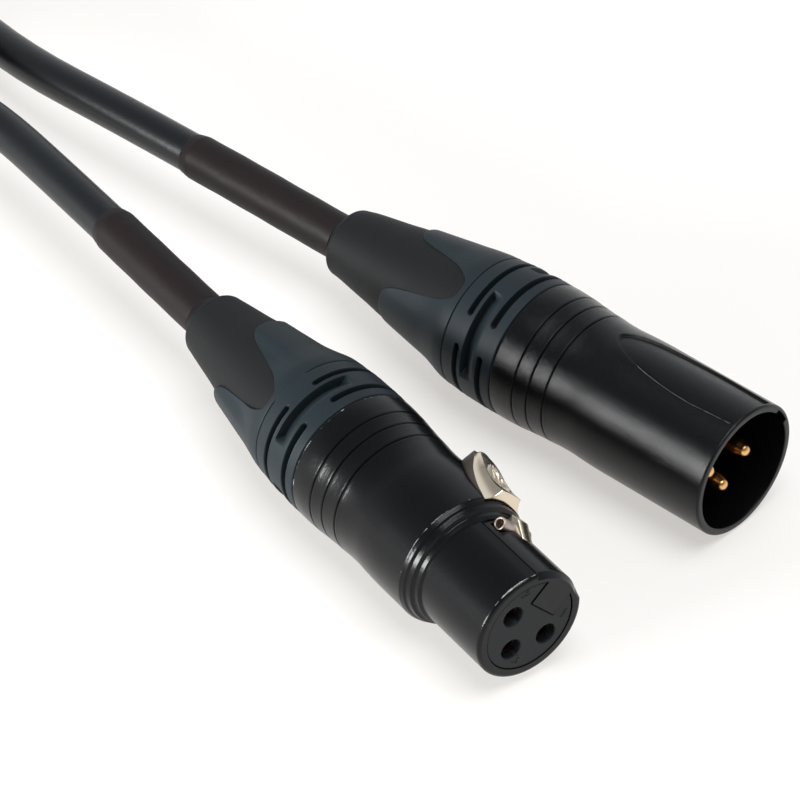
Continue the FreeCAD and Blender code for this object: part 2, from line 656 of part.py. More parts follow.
def boot(name, rear, shape):
    """Soft bend relief: fills the skin from inside and stands between its tongues."""
    body = new_body(name + "_boot_turned")
    end = rear + cell("boot_end")
    bore = cell("cable_radius") + 0.02
    outline = [(rear + 9.25, bore), (rear + 9.25, 9.4), (rear + 16.5, 8.36, 0.12), (rear + 19.5, 7.5, -0.02),
               (rear + 25.0, 6.5, -0.08), (rear + 32.8, 5.4), (end - 0.6, 4.45, 0.25), (end, 3.6, 0.1), (end, bore)]
    turn_round(body, "Revolution", outline)
    return cut(name + "_boot", body, shape)


def rounded_path(points):
    """Straight runs joined by tangent arcs, each as large as its two runs allow."""
    edges = []
    radii = []
    start = points[0]
    for index in range(1, len(points) - 1):
        before = points[index] - points[index - 1]
        after = points[index + 1] - points[index]
        turn = before.getAngle(after)
        room = 0.45 * min(before.Length, after.Length)
        radius = room / math.tan(turn / 2)
        radii.append(round(radius))
        inward = points[index] - before * (room / before.Length)
        outward = points[index] + after * (room / after.Length)
        corner = points[index]
        bisector = (inward + outward) * 0.5 - corner
        reach = radius / math.cos(turn / 2) - radius
        middle = corner + bisector * (reach / bisector.Length)
        edges.append(Part.LineSegment(start, inward).toShape())
        edges.append(Part.Arc(inward, middle, outward).toShape())
        start = outward
    edges.append(Part.LineSegment(start, points[-1]).toShape())
    return Part.Wire(edges), radii


def cores(name, start, stop, spots):
    """Three insulated wires that fan out from the cable's end and run straight into the contacts' cups."""
    wires = []
    for y, z in spots:
        far = Vector(size(stop).value, size(y).value, size(z).value)
        near = Vector(size(start).value, far.y * 0.38, far.z * 0.38)
        fans_at = Vector(far.x + 5.7, near.y, near.z)
        joins_at = Vector(far.x + 2.6, far.y, far.z)
        path, radii = rounded_path([near, fans_at, joins_at, far])
        ring = Part.Wire([Part.makeCircle(0.5, near, Vector(1, 0, 0))])
        wires.append(path.makePipeShell([ring], True, True))
    node = doc.addObject("Part::Feature", name + "_cores")
    node.Shape = Part.makeCompound(wires)
    return node


def cable_end(name, start, end):
    """The cable's end inside the connector, from the cut jacket to the end of the boot."""
    body = new_body(name + "_cable_end")
    outline = [(start, 0), (start, cell("cable_radius")), (end, cell("cable_radius")), (end, 0)]
    turn_round(body, "Revolution", outline)
    return body


def sleeve(name, start):
    """Shrunk sleeve: a thin tube with a soft step down to the cable at its end."""
    body = new_body(name + "_sleeve")
    bore = cell("cable_radius") + 0.02
    outer = cell("sleeve_radius")
    end = cell(name + "_sleeve_end")
    # the bore widens a little at the end, where the cable starts to bend
    turn_round(body, "Revolution", [(start, bore), (start, outer), (end - 1.2, outer), (end, bore + 0.26, 0.04),
                                    (end, bore + 0.16), (end - 12.0, bore)])
    return body


def rear_group(name, rear, place, cup_rear, spots):
    keep(chuck(name, rear), place)
    skin = bushing(name, rear, cell(name + "_slot").value, cell(name + "_opening").value)
    keep(boot(name, rear, skin), place)
    keep(copied(name + "_bushing", skin), place)
    keep(cores(name, rear - 1.5, cup_rear - 2.0, spots), place)
    keep(cable_end(name, rear - 1.5, rear + cell("boot_end")), place)
    keep(sleeve(name, rear + cell("boot_end")), place)


SPOTS = contact_spots()
keep(male_shell(), MALE)
keep(male_insert(), MALE)
for index, spot in enumerate(SPOTS, 1):
    pin, where = male_pin(index, spot)
    shift = FreeCAD.Placement(Vector(0, size(where[0]).value, size(where[1]).value), FreeCAD.Rotation())
    keep(pin, MALE.multiply(shift))
rear_group("male", cell("male_length"), MALE, cell("mouth_depth") + 11.5, SPOTS)

keep(female_shell(), FEMALE)
keep(female_insert(), FEMALE)
for index, spot in enumerate(SPOTS, 1):
    socket, where = female_socket(index, spot)
    shift = FreeCAD.Placement(Vector(0, size(where[0]).value, size(where[1]).value), FreeCAD.Rotation())
    keep(socket, FEMALE.multiply(shift))
keep(female_latch(), FEMALE)
keep(female_roll_pin(), FEMALE)
keep(female_latch_pivot(), FEMALE)
keep(female_latch_spring(), FEMALE)
rear_group("female", cell("female_length"), FEMALE, 28.0, SPOTS)


# The cable's route: it runs on straight from each boot, then past these points to the coil, given in
# millimetres from below the male mouth and chosen by hand

MALE_ROUTE = [(-147.0, 1.2, 8.2), (-184.0, 18.57, 2.95)]
FEMALE_ROUTE = [(-134.0, -12.0, 10.6), (-154.5, -20.4, 15.2), (-165.88, -38.95, 20.65)]


def cable_run(name, place, route):
    """Free stretch of cable from the end of a boot to the coil."""
    mouth = Vector(cell("male_mouth_at").value, cell("male_line_at").value, 0)
    rear = cell(name + "_length").value + cell("boot_end").value
    leaving = place.multVec(Vector(rear, 0, 0))
    onward = place.multVec(Vector(cell("straight_end").value, 0, 0))
    points = [leaving, onward] + [mouth + Vector(*spot) for spot in route]
    path, radii = rounded_path(points)
    direction = points[1] - points[0]
    radius = cell("cable_radius").value
    ring = Part.Wire([Part.makeCircle(radius, leaving, direction)])
    tube = path.makePipeShell([ring], True, True)
    section = math.pi * radius ** 2 * path.Length
    print("%s run: length %.1f radii %s volume %.4f of section x length"
          % (name, path.Length, radii, tube.Volume / section))
    for spot in points:
        print("  (%.5f, %.5f, %.5f)" % tuple(value / 1000 for value in spot))
    node = doc.addObject("Part::Feature", "cable_%s_run" % name)
    node.Shape = tube
    return node, path.Length


male_run, male_free = cable_run("male", MALE, MALE_ROUTE)
female_run, female_free = cable_run("female", FEMALE, FEMALE_ROUTE)


def rounded_corners(left, low, right, high, corner):
    """Outline of a rectangle with rounded corners."""
    rise = -corner * (1 - math.sqrt(0.5))
    return [(left + corner, low, rise), (right - corner, low), (right, low + corner, rise),
            (right, high - corner), (right - corner, high, rise), (left + corner, high),
            (left, high - corner, rise), (left, low + corner)]


def wound_coil():
    """Outer shape of the wound length, cut clear of the strap and of the two leads."""
    wound = cell("cable_length").value - male_free - female_free
    mean = wound / (2 * math.pi * cell("coil_turns").value)
    layers = cell("coil_layers").value
    pitch = cell("turn_pitch").value
    band = pitch * cell("coil_turns").value / layers + 2 * cell("cable_radius").value
    height = pitch * (layers - 1) + 2 * cell("cable_radius").value
    outer = mean + band / 2
    inner = mean - band / 2
    centre = Vector(cell("male_mouth_at").value + cell("coil_ahead").value,
                    cell("male_line_at").value + cell("coil_aside").value, 0)
    print("coil: wound %.1f mean radius %.2f inner %.2f outer %.2f height %.2f centre (%.2f, %.2f)"
          % (wound, mean, inner, outer, height, centre.x, centre.y))
    corner = cell("cable_radius").value
    ring = new_body("coil_ring")
    outline = [(inner, corner), (inner, height - corner), (inner + corner, height, 0.88),
               (outer - corner, height), (outer, height - corner, 0.88), (outer, corner),
               (outer - corner, 0, 0.88), (inner + corner, 0), ]
    outline[0] = (inner, corner, 0.88)
    sketch = sketch_in(ring, "XZ_Plane", [outline])
    turned = ring.newObject("PartDesign::Revolution", "Revolution")
    turned.Profile = sketch
    turned.ReferenceAxis = (sketch, ["V_Axis"])
    turned.Angle = 360
    ring.Tip = turned
    ring.Placement = FreeCAD.Placement(centre, FreeCAD.Rotation())
    # strap round the coil's section on the side away from the connectors
    wall = 1.2
    half = 7.0
    strap = new_body("cable_tie")
    frame = rounded_corners(-outer - wall, 0.02, -inner + wall, height + wall, corner + wall)
    hole = rounded_corners(-outer, wall, -inner, height, corner)
    push(strap, "Pad", sketch_in(strap, "XZ_Plane", [frame, hole]), 2 * half, both=True)
    strap.Placement = FreeCAD.Placement(centre, FreeCAD.Rotation())
    coil = cut("coil_under_strap", ring, strap)
    coil = cut("coil_past_male_run", coil, male_run)
    return cut("cable_coil", coil, female_run), strap


coil, strap = wound_coil()
nodes += [male_run, female_run, coil, strap]


# Checks, then one file for each piece

doc.recompute()
faults = []
for item in doc.Objects:
    if "Invalid" in item.State or "Error" in item.State:
        faults.append("%s %s" % (item.Label, item.State))
for item in nodes:
    if item.Shape.isNull() or not item.Shape.isValid() or item.Shape.Volume <= 0:
        faults.append("%s has a bad shape" % item.Label)
if faults:
    raise RuntimeError("; ".join(faults))
os.makedirs("parts", exist_ok=True)
for item in nodes:
    item.Shape.exportStep("parts/%s.step" % item.Label)
own = FreeCAD.BoundBox()
for item in nodes:
    if not item.Label.startswith("cable_") and not item.Label.endswith("_sleeve"):
        own.add(item.Shape.optimalBoundingBox())
print("connectors x %.3f %.3f y %.3f %.3f z %.3f %.3f" % (own.XMin, own.XMax, own.YMin, own.YMax, own.ZMin, own.ZMax))
for name, place in (("male", MALE), ("female", FEMALE)):
    face = place.Base
    ahead = place.Rotation.multVec(Vector(-1, 0, 0))
    print("%s mouth (%.5f, %.5f, %.5f) heading (%.5f, %.5f, %.5f)"
          % ((name,) + tuple(value / 1000 for value in face) + tuple(ahead)))
print("%d pieces" % len(nodes))
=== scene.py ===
"""Microphone cable: a male and a female connector side by side on a table, the spare length coiled."""
import json
import math

import bpy
import numpy as np
from mathutils import Matrix, Vector


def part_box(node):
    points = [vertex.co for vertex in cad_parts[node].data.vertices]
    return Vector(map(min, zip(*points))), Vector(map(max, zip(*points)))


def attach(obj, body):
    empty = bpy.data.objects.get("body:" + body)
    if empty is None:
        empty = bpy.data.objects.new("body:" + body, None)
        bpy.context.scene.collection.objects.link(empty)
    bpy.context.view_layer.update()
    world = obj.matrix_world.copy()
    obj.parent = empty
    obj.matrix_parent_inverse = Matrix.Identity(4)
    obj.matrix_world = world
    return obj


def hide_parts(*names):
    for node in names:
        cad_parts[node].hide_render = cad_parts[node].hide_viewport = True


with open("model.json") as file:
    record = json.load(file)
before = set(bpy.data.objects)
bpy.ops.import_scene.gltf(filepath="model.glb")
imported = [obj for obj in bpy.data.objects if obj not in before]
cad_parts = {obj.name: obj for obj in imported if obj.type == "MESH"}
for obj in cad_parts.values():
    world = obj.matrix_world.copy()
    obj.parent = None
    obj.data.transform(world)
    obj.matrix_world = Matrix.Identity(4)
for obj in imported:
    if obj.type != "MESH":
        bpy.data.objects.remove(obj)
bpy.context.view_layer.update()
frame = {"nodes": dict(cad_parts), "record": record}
record = frame["record"]

# The two connectors' places. Each lies on its two rims, so its axis falls a little towards the mouth.
# A point on a connector is given in millimetres: depth behind the mating face, y, and z to the key.
mounts = {mount["name"]: mount for mount in record["mounts"]}
NOSE_MOUNT_BEHIND_FACE = 0.006


def connector_place(face, out, third_contact):
    """Matrix from a connector's own frame to the row's, from its face, its axis and its third contact."""
    out = Vector(out).normalized()
    down = Vector(third_contact) - Vector(face)
    key = -(down - out * down.dot(out)).normalized()
    side = key.cross(-out)
    return Matrix((
        (-out.x, side.x, key.x, face[0]),
        (-out.y, side.y, key.y, face[1]),
        (-out.z, side.z, key.z, face[2]),
        (0, 0, 0, 1),
    ))


MALE = connector_place(
    mounts["male_mouth"]["pos_m"], mounts["male_mouth"]["axis"], mounts["male_pin_3"]["pos_m"])
nose = mounts["female_nose"]
female_face = Vector(nose["pos_m"]) + Vector(nose["axis"]).normalized() * NOSE_MOUNT_BEHIND_FACE
FEMALE = connector_place(female_face, nose["axis"], mounts["female_contact_3"]["pos_m"])

# The camera stands in front of the connectors and looks down along them, with a long lens. It aims
# between the two bushings, and the tones are shown without a film's curve.
MOUTH = Vector(mounts["male_mouth"]["pos_m"])
LOOK_AT = Vector((MOUTH.x - 0.04378, MOUTH.y - 0.0182, 0.008))
LOOK_HEADING = math.radians(132.63)
LOOK_DOWN = math.radians(39.45)
LOOK_FROM = 0.55692
view = bpy.data.cameras.new("view")
view.lens = 189.065
view.sensor_width = 36
view.clip_start = 0.01
camera = bpy.data.objects.new("camera", view)
bpy.context.collection.objects.link(camera)
forward = Vector((
    math.cos(LOOK_HEADING) * math.cos(LOOK_DOWN), math.sin(LOOK_HEADING) * math.cos(LOOK_DOWN),
    -math.sin(LOOK_DOWN)))
camera.location = LOOK_AT - forward * LOOK_FROM
camera.rotation_euler = forward.to_track_quat("-Z", "Y").to_euler()
bpy.context.scene.camera = camera
bpy.context.scene.view_settings.view_transform = "Standard"

# The table is white paper under a large soft lamp overhead. A smaller lamp stands low on the left and
# draws the long highlight on the barrels; the room is darker above than at the height of the table.


def plain_material(name, colour, roughness, metallic=0.0, gloss=0.5):
    """A material of one colour, to be given its grain by the section that uses it."""
    material = bpy.data.materials.new(name)
    material.use_nodes = True
    shader = material.node_tree.nodes["Principled BSDF"]
    shader.inputs["Specular IOR Level"].default_value = gloss
    shader.inputs["Base Color"].default_value = (*colour, 1)
    shader.inputs["Roughness"].default_value = roughness
    shader.inputs["Metallic"].default_value = metallic
    return material


def overexposed(material, amount, colour):
    """Let the camera see the table as white: mix in a glow that lights nothing else, seen by camera,
    glossy and transmission rays. The shadows stay, a little lighter."""
    nodes = material.node_tree.nodes
    path = nodes.new("ShaderNodeLightPath").outputs
    glow = nodes.new("ShaderNodeEmission")
    glow.inputs["Color"].default_value = (*colour, 1)
    mixed = nodes.new("ShaderNodeMixShader")
    seen, either, part = (nodes.new("ShaderNodeMath") for _ in range(3))
    seen.operation = either.operation = "MAXIMUM"
    part.operation = "MULTIPLY"
    part.inputs[1].default_value = amount
    for out, into in (
            (path["Is Camera Ray"], seen.inputs[0]), (path["Is Glossy Ray"], seen.inputs[1]),
            (seen.outputs[0], either.inputs[0]), (path["Is Transmission Ray"], either.inputs[1]),
            (either.outputs[0], part.inputs[0]), (part.outputs[0], mixed.inputs["Fac"]),
            (nodes["Principled BSDF"].outputs["BSDF"], mixed.inputs[1]),
            (glow.outputs[0], mixed.inputs[2]),
            (mixed.outputs[0], nodes["Material Output"].inputs["Surface"])):
        material.node_tree.links.new(out, into)


bpy.ops.mesh.primitive_plane_add(size=6, location=(0, 0, -0.0002))
table = bpy.context.object
table.name = "table"
paper = plain_material("paper", (0.95, 0.95, 0.95), 0.9, gloss=0.2)
overexposed(paper, amount=0.56, colour=(1.0, 0.965, 0.92))
table.data.materials.append(paper)


def room(dark_end, levels):
    """World that gets darker towards one direction: levels are (cosine of the angle to it, grey)."""
    world = bpy.data.worlds.new("studio")
    world.use_nodes = True
    nodes, links = world.node_tree.nodes, world.node_tree.links
    where = nodes.new("ShaderNodeTexCoord")
    towards = nodes.new("ShaderNodeVectorMath")
    towards.operation = "DOT_PRODUCT"
    towards.inputs[1].default_value = dark_end
    ramp = nodes.new("ShaderNodeValToRGB")
    while len(ramp.color_ramp.elements) < len(levels):
        ramp.color_ramp.elements.new(0.5)
    for element, (cosine, grey) in zip(ramp.color_ramp.elements, levels):
        element.position = cosine
        element.color = (grey * 0.95, grey, grey * 1.04, 1)
    links.new(where.outputs["Generated"], towards.inputs[0])
    links.new(towards.outputs["Value"], ramp.inputs[0])
    links.new(ramp.outputs["Color"], nodes["Background"].inputs["Color"])
    return world


bpy.context.scene.world = room(
    (0.171, -0.296, 0.940),
    [(0.0, 0.85), (0.27, 0.75), (0.41, 0.55), (0.5, 0.42), (0.6, 0.3), (0.68, 0.22), (1.0, 0.15)])


def lamp(name, heading, height, distance, width, tall, power):
    """A flat rectangular lamp in a direction seen from the connectors, in degrees, facing them."""
    light = bpy.data.lights.new(name, "AREA")
    light.shape = "RECTANGLE"
    light.size = width
    light.size_y = tall
    light.energy = power
    holder = bpy.data.objects.new(name, light)
    bpy.context.collection.objects.link(holder)
    heading, height = math.radians(heading), math.radians(height)
    back = Vector((
        math.cos(heading) * math.cos(height), math.sin(heading) * math.cos(height), math.sin(height)))
    holder.location = MOUTH + back * distance
    holder.rotation_euler = back.to_track_quat("Z", "Y").to_euler()


lamp("overhead", heading=-20, height=80, distance=1.3, width=0.9, tall=0.9, power=14.0)
lamp("window", heading=-113.5, height=11, distance=1.5, width=0.68, tall=0.4, power=34.0)

# The cable: 3 m of round 5.8 mm cord with a smooth black PVC jacket. It runs on straight out of both
# boots, sinks to the table, and its spare length is wound into four layers of turns under a strap.
CABLE = 0.0058
PITCH = 0.0059
TURNS = 14.736
LAYERS = 4
CLIMB = math.radians(45)
PER_TURN = 24
LOWEST = 0.00295
REAR = {"male": 0.0712, "female": 0.0733}
STRAIGHT = 0.105
PLACE = {"male": MALE, "female": FEMALE}
exits = {name: place @ Vector((REAR[name], 0, 0)) for name, place in PLACE.items()}
onward = {name: place @ Vector((STRAIGHT, 0, 0)) for name, place in PLACE.items()}
from_mouth = Vector((MOUTH.x, MOUTH.y, 0))
male_lead = [exits["male"], onward["male"], from_mouth + Vector((-0.147, 0.0012, 0.0082))]
female_lead = [exits["female"], onward["female"]] + [from_mouth + Vector(spot) for spot in (
    (-0.134, -0.012, 0.0106), (-0.1545, -0.0204, 0.0152))]
coil_centre = from_mouth + Vector((-0.2013, -0.0185, 0))
COIL_RADIUS = 0.0300
JOINS_AT = math.radians(65)


def winding():
    """Points of the wound length. The angle rises evenly. In each layer the radius falls or grows by
    one pitch a turn, and at the change of layer the cable climbs one pitch over a short angle."""
    turned = np.arange(0, TURNS * PER_TURN + 1) / PER_TURN
    per_layer = TURNS / LAYERS
    layer = np.minimum(np.floor(turned / per_layer), LAYERS - 1)
    part = turned / per_layer - layer
    inward = np.where(layer % 2 == 0, part, 1 - part)
    radius = COIL_RADIUS + PITCH * per_layer * (0.5 - inward)
    radius = radius / math.cos(math.pi / PER_TURN) ** 0.5
    climbing = np.clip(part * per_layer * 2 * math.pi / CLIMB, 0, 1)
    height = LOWEST + PITCH * np.where(layer > 0, layer - 1 + climbing, 0)
    angle = JOINS_AT + turned * 2 * math.pi
    return np.stack([
        coil_centre.x + radius * np.cos(angle), coil_centre.y + radius * np.sin(angle), height], -1)


route = [tuple(spot) for spot in male_lead] + [tuple(spot) for spot in winding()]
route += [tuple(spot) for spot in reversed(female_lead)]
line = bpy.data.curves.new("cable", "CURVE")
line.dimensions = "3D"
spline = line.splines.new("NURBS")
spline.points.add(len(route) - 1)
spline.points.foreach_set("co", np.hstack([np.array(route), np.ones((len(route), 1))]).ravel())
spline.order_u = 3
spline.use_endpoint_u = True
line.resolution_u = 8
line.bevel_depth = CABLE / 2
line.bevel_resolution = 6
line.use_fill_caps = True
cable = bpy.data.objects.new("cable", line)
bpy.context.collection.objects.link(cable)


def noise_of(material, scale, detail):
    """Noise in the object's own space, as a value between 0 and 1."""
    nodes = material.node_tree.nodes
    where = nodes.new("ShaderNodeTexCoord")
    noise = nodes.new("ShaderNodeTexNoise")
    noise.inputs["Scale"].default_value = scale
    noise.inputs["Detail"].default_value = detail
    material.node_tree.links.new(where.outputs["Object"], noise.inputs["Vector"])
    return noise.outputs["Fac"]


def grain(material, scale, strength, distance):
    """Fine bumps on a material, from noise."""
    nodes, links = material.node_tree.nodes, material.node_tree.links
    bump = nodes.new("ShaderNodeBump")
    bump.inputs["Strength"].default_value = strength
    bump.inputs["Distance"].default_value = distance
    links.new(noise_of(material, scale, 2.0), bump.inputs["Height"])
    links.new(bump.outputs["Normal"], nodes["Principled BSDF"].inputs["Normal"])


jacket = plain_material("pvc_jacket", (0.0034, 0.0044, 0.0056), 0.36, gloss=0.36)
grain(jacket, 900, 0.15, 0.0002)
cable.data.materials.append(jacket)
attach(cable, "cable")
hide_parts("cable_male_run", "cable_female_run", "cable_coil")

# The strap round the coil: a band of black hook and loop tape, woven and fuzzy, which holds by pressing
# on itself. It's drawn tight round the four layers.
TAPE = 0.0011
BEND, NARROWER = 0.0034, 0.0002


def mesh_from(name, points, corners):
    """Smooth-shaded mesh from points and four-sided faces, without the points that no face uses."""
    used, corners = np.unique(corners, return_inverse=True)
    points = points[used]
    corners = corners.reshape(-1, 4)
    mesh = bpy.data.meshes.new(name)
    mesh.vertices.add(len(points))
    mesh.vertices.foreach_set("co", points.ravel())
    mesh.loops.add(corners.size)
    mesh.loops.foreach_set("vertex_index", corners.ravel().astype(np.int32))
    mesh.polygons.add(len(corners))
    mesh.polygons.foreach_set("loop_start", np.arange(0, corners.size, 4, dtype=np.int32))
    mesh.polygons.foreach_set("use_smooth", np.ones(len(corners), dtype=bool))
    mesh.update(calc_edges=True)
    mesh.validate()
    return mesh


def grid_corners(rows, columns, closed):
    """Corners of the faces of a grid of points. Each four neighbours make a face, and closed tells for
    each of the two directions whether its end joins its start."""
    row = np.arange(rows if closed[0] else rows - 1)
    column = np.arange(columns if closed[1] else columns - 1)
    a, b = np.meshgrid(row, column, indexing="ij")
    after, beside = (a + 1) % rows, (b + 1) % columns
    corners = [a * columns + b, after * columns + b, after * columns + beside, a * columns + beside]
    return np.stack(corners, -1).reshape(-1, 4)


def grid_mesh(name, points, closed):
    """Mesh from a grid of points in metres, an array of rows by columns by three."""
    return mesh_from(name, points.reshape(-1, 3), grid_corners(*points.shape[:2], closed))


def show(name, mesh, material, body, slot, *nodes):
    """Put a mesh into the scene as a piece that rides on a body and stands for these nodes."""
    piece = bpy.data.objects.new(name, mesh)
    bpy.context.collection.objects.link(piece)
    if material:
        piece.data.materials.append(material)
    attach(piece, body)
    if nodes:
        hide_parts(*nodes)
    return piece


def rounded_outline(corners, step, bend=8):
    """Closed outline through corners (across, up, radius): each corner becomes an arc that touches its
    two edges, and the straight parts between get points every step."""
    corners = np.array(corners, dtype=float)
    spots, radii = corners[:, :2], corners[:, 2:]
    before = np.roll(spots, 1, 0) - spots
    after = np.roll(spots, -1, 0) - spots
    before_size = np.linalg.norm(before, axis=1, keepdims=True)
    after_size = np.linalg.norm(after, axis=1, keepdims=True)
    before, after = before / before_size, after / after_size
    half = np.arccos(np.clip((before * after).sum(1, keepdims=True), -1, 1)) / 2
    reach = np.minimum(radii / np.tan(half), 0.49 * np.minimum(before_size, after_size))
    radii = reach * np.tan(half)
    swing = np.linspace(-1, 1, bend)[None, :, None] * (math.pi / 2 - half)[:, None, :]
    middle, across = before + after, after - before
    middle, across = (
        way / np.maximum(np.linalg.norm(way, axis=1, keepdims=True), 1e-12) for way in (middle, across))
    centre = spots + middle * (radii / np.sin(half))
    arcs = centre[:, None] + radii[:, None] * (
        -middle[:, None] * np.cos(swing) + across[:, None] * np.sin(swing))
    pieces = []
    for arc, following in zip(arcs, np.roll(arcs, -1, 0)):
        count = max(int(np.linalg.norm(following[0] - arc[-1]) / step), 1)
        share = np.linspace(0, 1, count + 1)[1:-1, None]
        pieces += [arc, arc[-1] * (1 - share) + following[0] * share]
    return np.concatenate(pieces)


def strap():
    """A closed band: its inner and outer outlines round the coil's section are joined by two edges. The
    outline is a rounded rectangle in the plane through the coil's axis, a little narrower outside."""
    low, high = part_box("cable_tie")
    outer = [(low[0], low[2]), (high[0], low[2]), (high[0], high[2]), (low[0], high[2])]
    sign = ((1, 1), (-1, 1), (-1, -1), (1, -1))
    middle, half = (low[1] + high[1]) / 2, (high[1] - low[1]) / 2
    loops = []
    for inset, side in ((0, -1), (0, 1), (TAPE, 1), (TAPE, -1)):
        corners = [
            (x + inset * sx, z + inset * sz, BEND - inset) for (x, z), (sx, sz) in zip(outer, sign)]
        loop = rounded_outline(corners, 0.0008)
        loops.append(np.insert(loop, 1, middle + side * (half - (0 if inset else NARROWER)), 1))
    count = min(len(loop) for loop in loops)
    loops = [loop[np.linspace(0, len(loop) - 1, count).astype(int)] for loop in loops]
    return np.stack(loops)


tape = plain_material("hook_and_loop_tape", (0.010, 0.010, 0.011), 0.85)
grain(tape, 1800, 0.6, 0.0003)
band = show("strap", grid_mesh("strap", strap(), (True, True)), tape, "cable", "strap", "cable_tie")

# The sleeves on the cable behind each boot: thin dark plastic tubing, shrunk on with heat, with a matte
# skin that follows the cable's line and ends in a soft step. Sizes from here on are in millimetres.
SLEEVE = 3.28
SLEEVE_BORE = 2.92
SLEEVE_LENGTH = {"male": 29.3, "female": 24.2}


def along_lead(lead, distance):
    """Points and cross directions along the first stretch of a lead, the quadratic curve that its first
    two points and the middle of the next run define, at these distances from its start in millimetres."""
    start, turn = np.array(lead[0]), np.array(lead[1])
    end = (turn + np.array(lead[2])) / 2
    fine = np.linspace(0, 1, 400)[:, None]
    curve = (1 - fine) ** 2 * start + 2 * fine * (1 - fine) * turn + fine ** 2 * end
    gone = np.concatenate([[0], np.cumsum(np.linalg.norm(np.diff(curve, axis=0), axis=1))])
    share = np.interp(np.array(distance) / 1000, gone, fine[:, 0])[:, None]
    spots = (1 - share) ** 2 * start + 2 * share * (1 - share) * turn + share ** 2 * end
    heading = (1 - share) * (turn - start) + share * (end - turn)
    heading /= np.linalg.norm(heading, axis=1, keepdims=True)
    side = np.cross(heading, [0, 0, 1.0])
    side /= np.linalg.norm(side, axis=1, keepdims=True)
    return spots, side, np.cross(side, heading)


def sleeve(lead, length):
    """A tube round the lead: radius against distance is a closed outline of the outer skin with a soft
    step at the far end, and the inner wall. Slow ripples round and along it give the shrunk look."""
    outline = rounded_outline([
        (0, SLEEVE_BORE, 0), (0, SLEEVE, 0.15), (length - 1.4, SLEEVE, 2.0), (length, 3.02, 0.1),
        (length, SLEEVE_BORE, 0)], 0.5)
    spots, side, up = along_lead(lead, outline[:, 0])
    angle = np.linspace(0, 2 * math.pi, 64, endpoint=False)
    ripple = 0.03 * np.sin(3 * angle[None] + outline[:, :1] * 0.55) * np.sin(outline[:, :1] * 0.31 + 1)
    radius = (outline[:, 1:] + np.where(outline[:, 1:] > 3.1, ripple, 0)) / 1000
    return spots[:, None] + radius[..., None] * (
        side[:, None] * np.cos(angle)[None, :, None] + up[:, None] * np.sin(angle)[None, :, None])


shrink = plain_material("shrunk_tubing", (0.0105, 0.0070, 0.0072), 0.5, gloss=0.16)
grain(shrink, 700, 0.25, 0.0002)
for name, lead in (("male", male_lead), ("female", female_lead)):
    mesh = grid_mesh(name + "_sleeve", sleeve(lead, SLEEVE_LENGTH[name]), (True, True))
    show(name + "_sleeve_skin", mesh, shrink, "cable", "sleeve", name + "_sleeve")

# The bushing screws into the shell and grips the cable. It's moulded plastic: a ring with slots for the
# fingers, and behind it a slate-grey skin that runs out in three long tongues over the black rubber boot.
# Depths are counted from the shell's rear edge, and angles in degrees from the key.
SHELL_END = {"male": 35.5, "female": 38.0}
BRIDGE = {"male": 66.0, "female": 73.6}
SCALLOP = {"male": 39.4, "female": 93.9}


def smooth_through(at, knots):
    """Smooth curve through knots (place, value): a cubic between each two, with the slope at a knot
    that of the line between its two neighbours."""
    knots = np.array(knots, dtype=float)
    place, value = knots.T
    slope = np.gradient(value, place)
    index = np.clip(np.searchsorted(place, at) - 1, 0, len(place) - 2)
    width = place[index + 1] - place[index]
    share = np.clip((at - place[index]) / width, 0, 1)
    return (
        value[index] * (1 + 2 * share) * (1 - share) ** 2
        + value[index + 1] * share ** 2 * (3 - 2 * share)
        + slope[index] * width * share * (1 - share) ** 2
        - slope[index + 1] * width * share ** 2 * (1 - share))


def step_down(distance, width):
    """1 inside an outline, 0 outside, and a smooth ramp over the width between them."""
    share = np.clip(0.5 - distance / width, 0, 1)
    return share * share * (3 - 2 * share)


def box_distance(across, along, half_across, half_along, corner):
    """Distance to a rectangle with rounded corners, less than zero inside it."""
    over = np.abs(across) - (half_across - corner)
    past = np.abs(along) - (half_along - corner)
    outside = np.hypot(np.maximum(over, 0), np.maximum(past, 0))
    return outside + np.minimum(np.maximum(over, past), 0) - corner


def in_row_frame(place, x, y, z):
    """Points in millimetres in a connector's own frame, as points in metres in the row's frame."""
    points = np.stack([x / 1000, y / 1000, z / 1000, np.ones_like(x)], -1)
    return (points @ np.array(place).T)[..., :3]


def round_grid(place, x, radius, angle):
    """Surface of revolution as a grid: depth and radius for each row, angle from the key to +y."""
    return in_row_frame(place, x, radius * np.sin(angle), radius * np.cos(angle))


def bunch(*spans):
    """Rising places from spans (start, end, count) laid end to end."""
    return np.concatenate([np.linspace(start, end, count, endpoint=False) for start, end, count in spans])


def all_round(places, count):
    """Two grids, with a row for each place and a column for each of the angles all round."""
    return np.meshgrid(places, bunch((0, 2 * math.pi, count)), indexing="ij")


RING = [(0.3, 9.93), (1.5, 9.95), (4, 9.93), (6.3, 9.84), (8, 9.70), (8.8, 9.62)]
SLOT_RADIUS = 9.9
SKIN_START = 8.95
SKIN = [(8.8, 9.62), (10.5, 9.47), (12, 9.16), (14, 8.74), (16.5, 8.35), (19, 7.95), (22, 7.48),
        (24, 7.15), (26, 6.8)]
EDGE = [(0, 9.6), (5, 9.68), (9, 10.0), (13, 10.9), (17.5, 12.4), (23.5, 15.8), (28.5, 18.7), (32, 20.3),
        (35.5, 21.2), (39.5, 21.8), (45.5, 22.1), (53, 22.3), (60, 22.35)]
SUNK = {"male": 0.15, "female": 0.58}
LEAN = {"male": 0.26, "female": 0.0}
LEAN_TO = math.radians(-40)


def from_scallop(angle, name):
    """Degrees from the nearest of the three scallops."""
    return np.abs((np.degrees(angle) - SCALLOP[name] + 60) % 120 - 60)


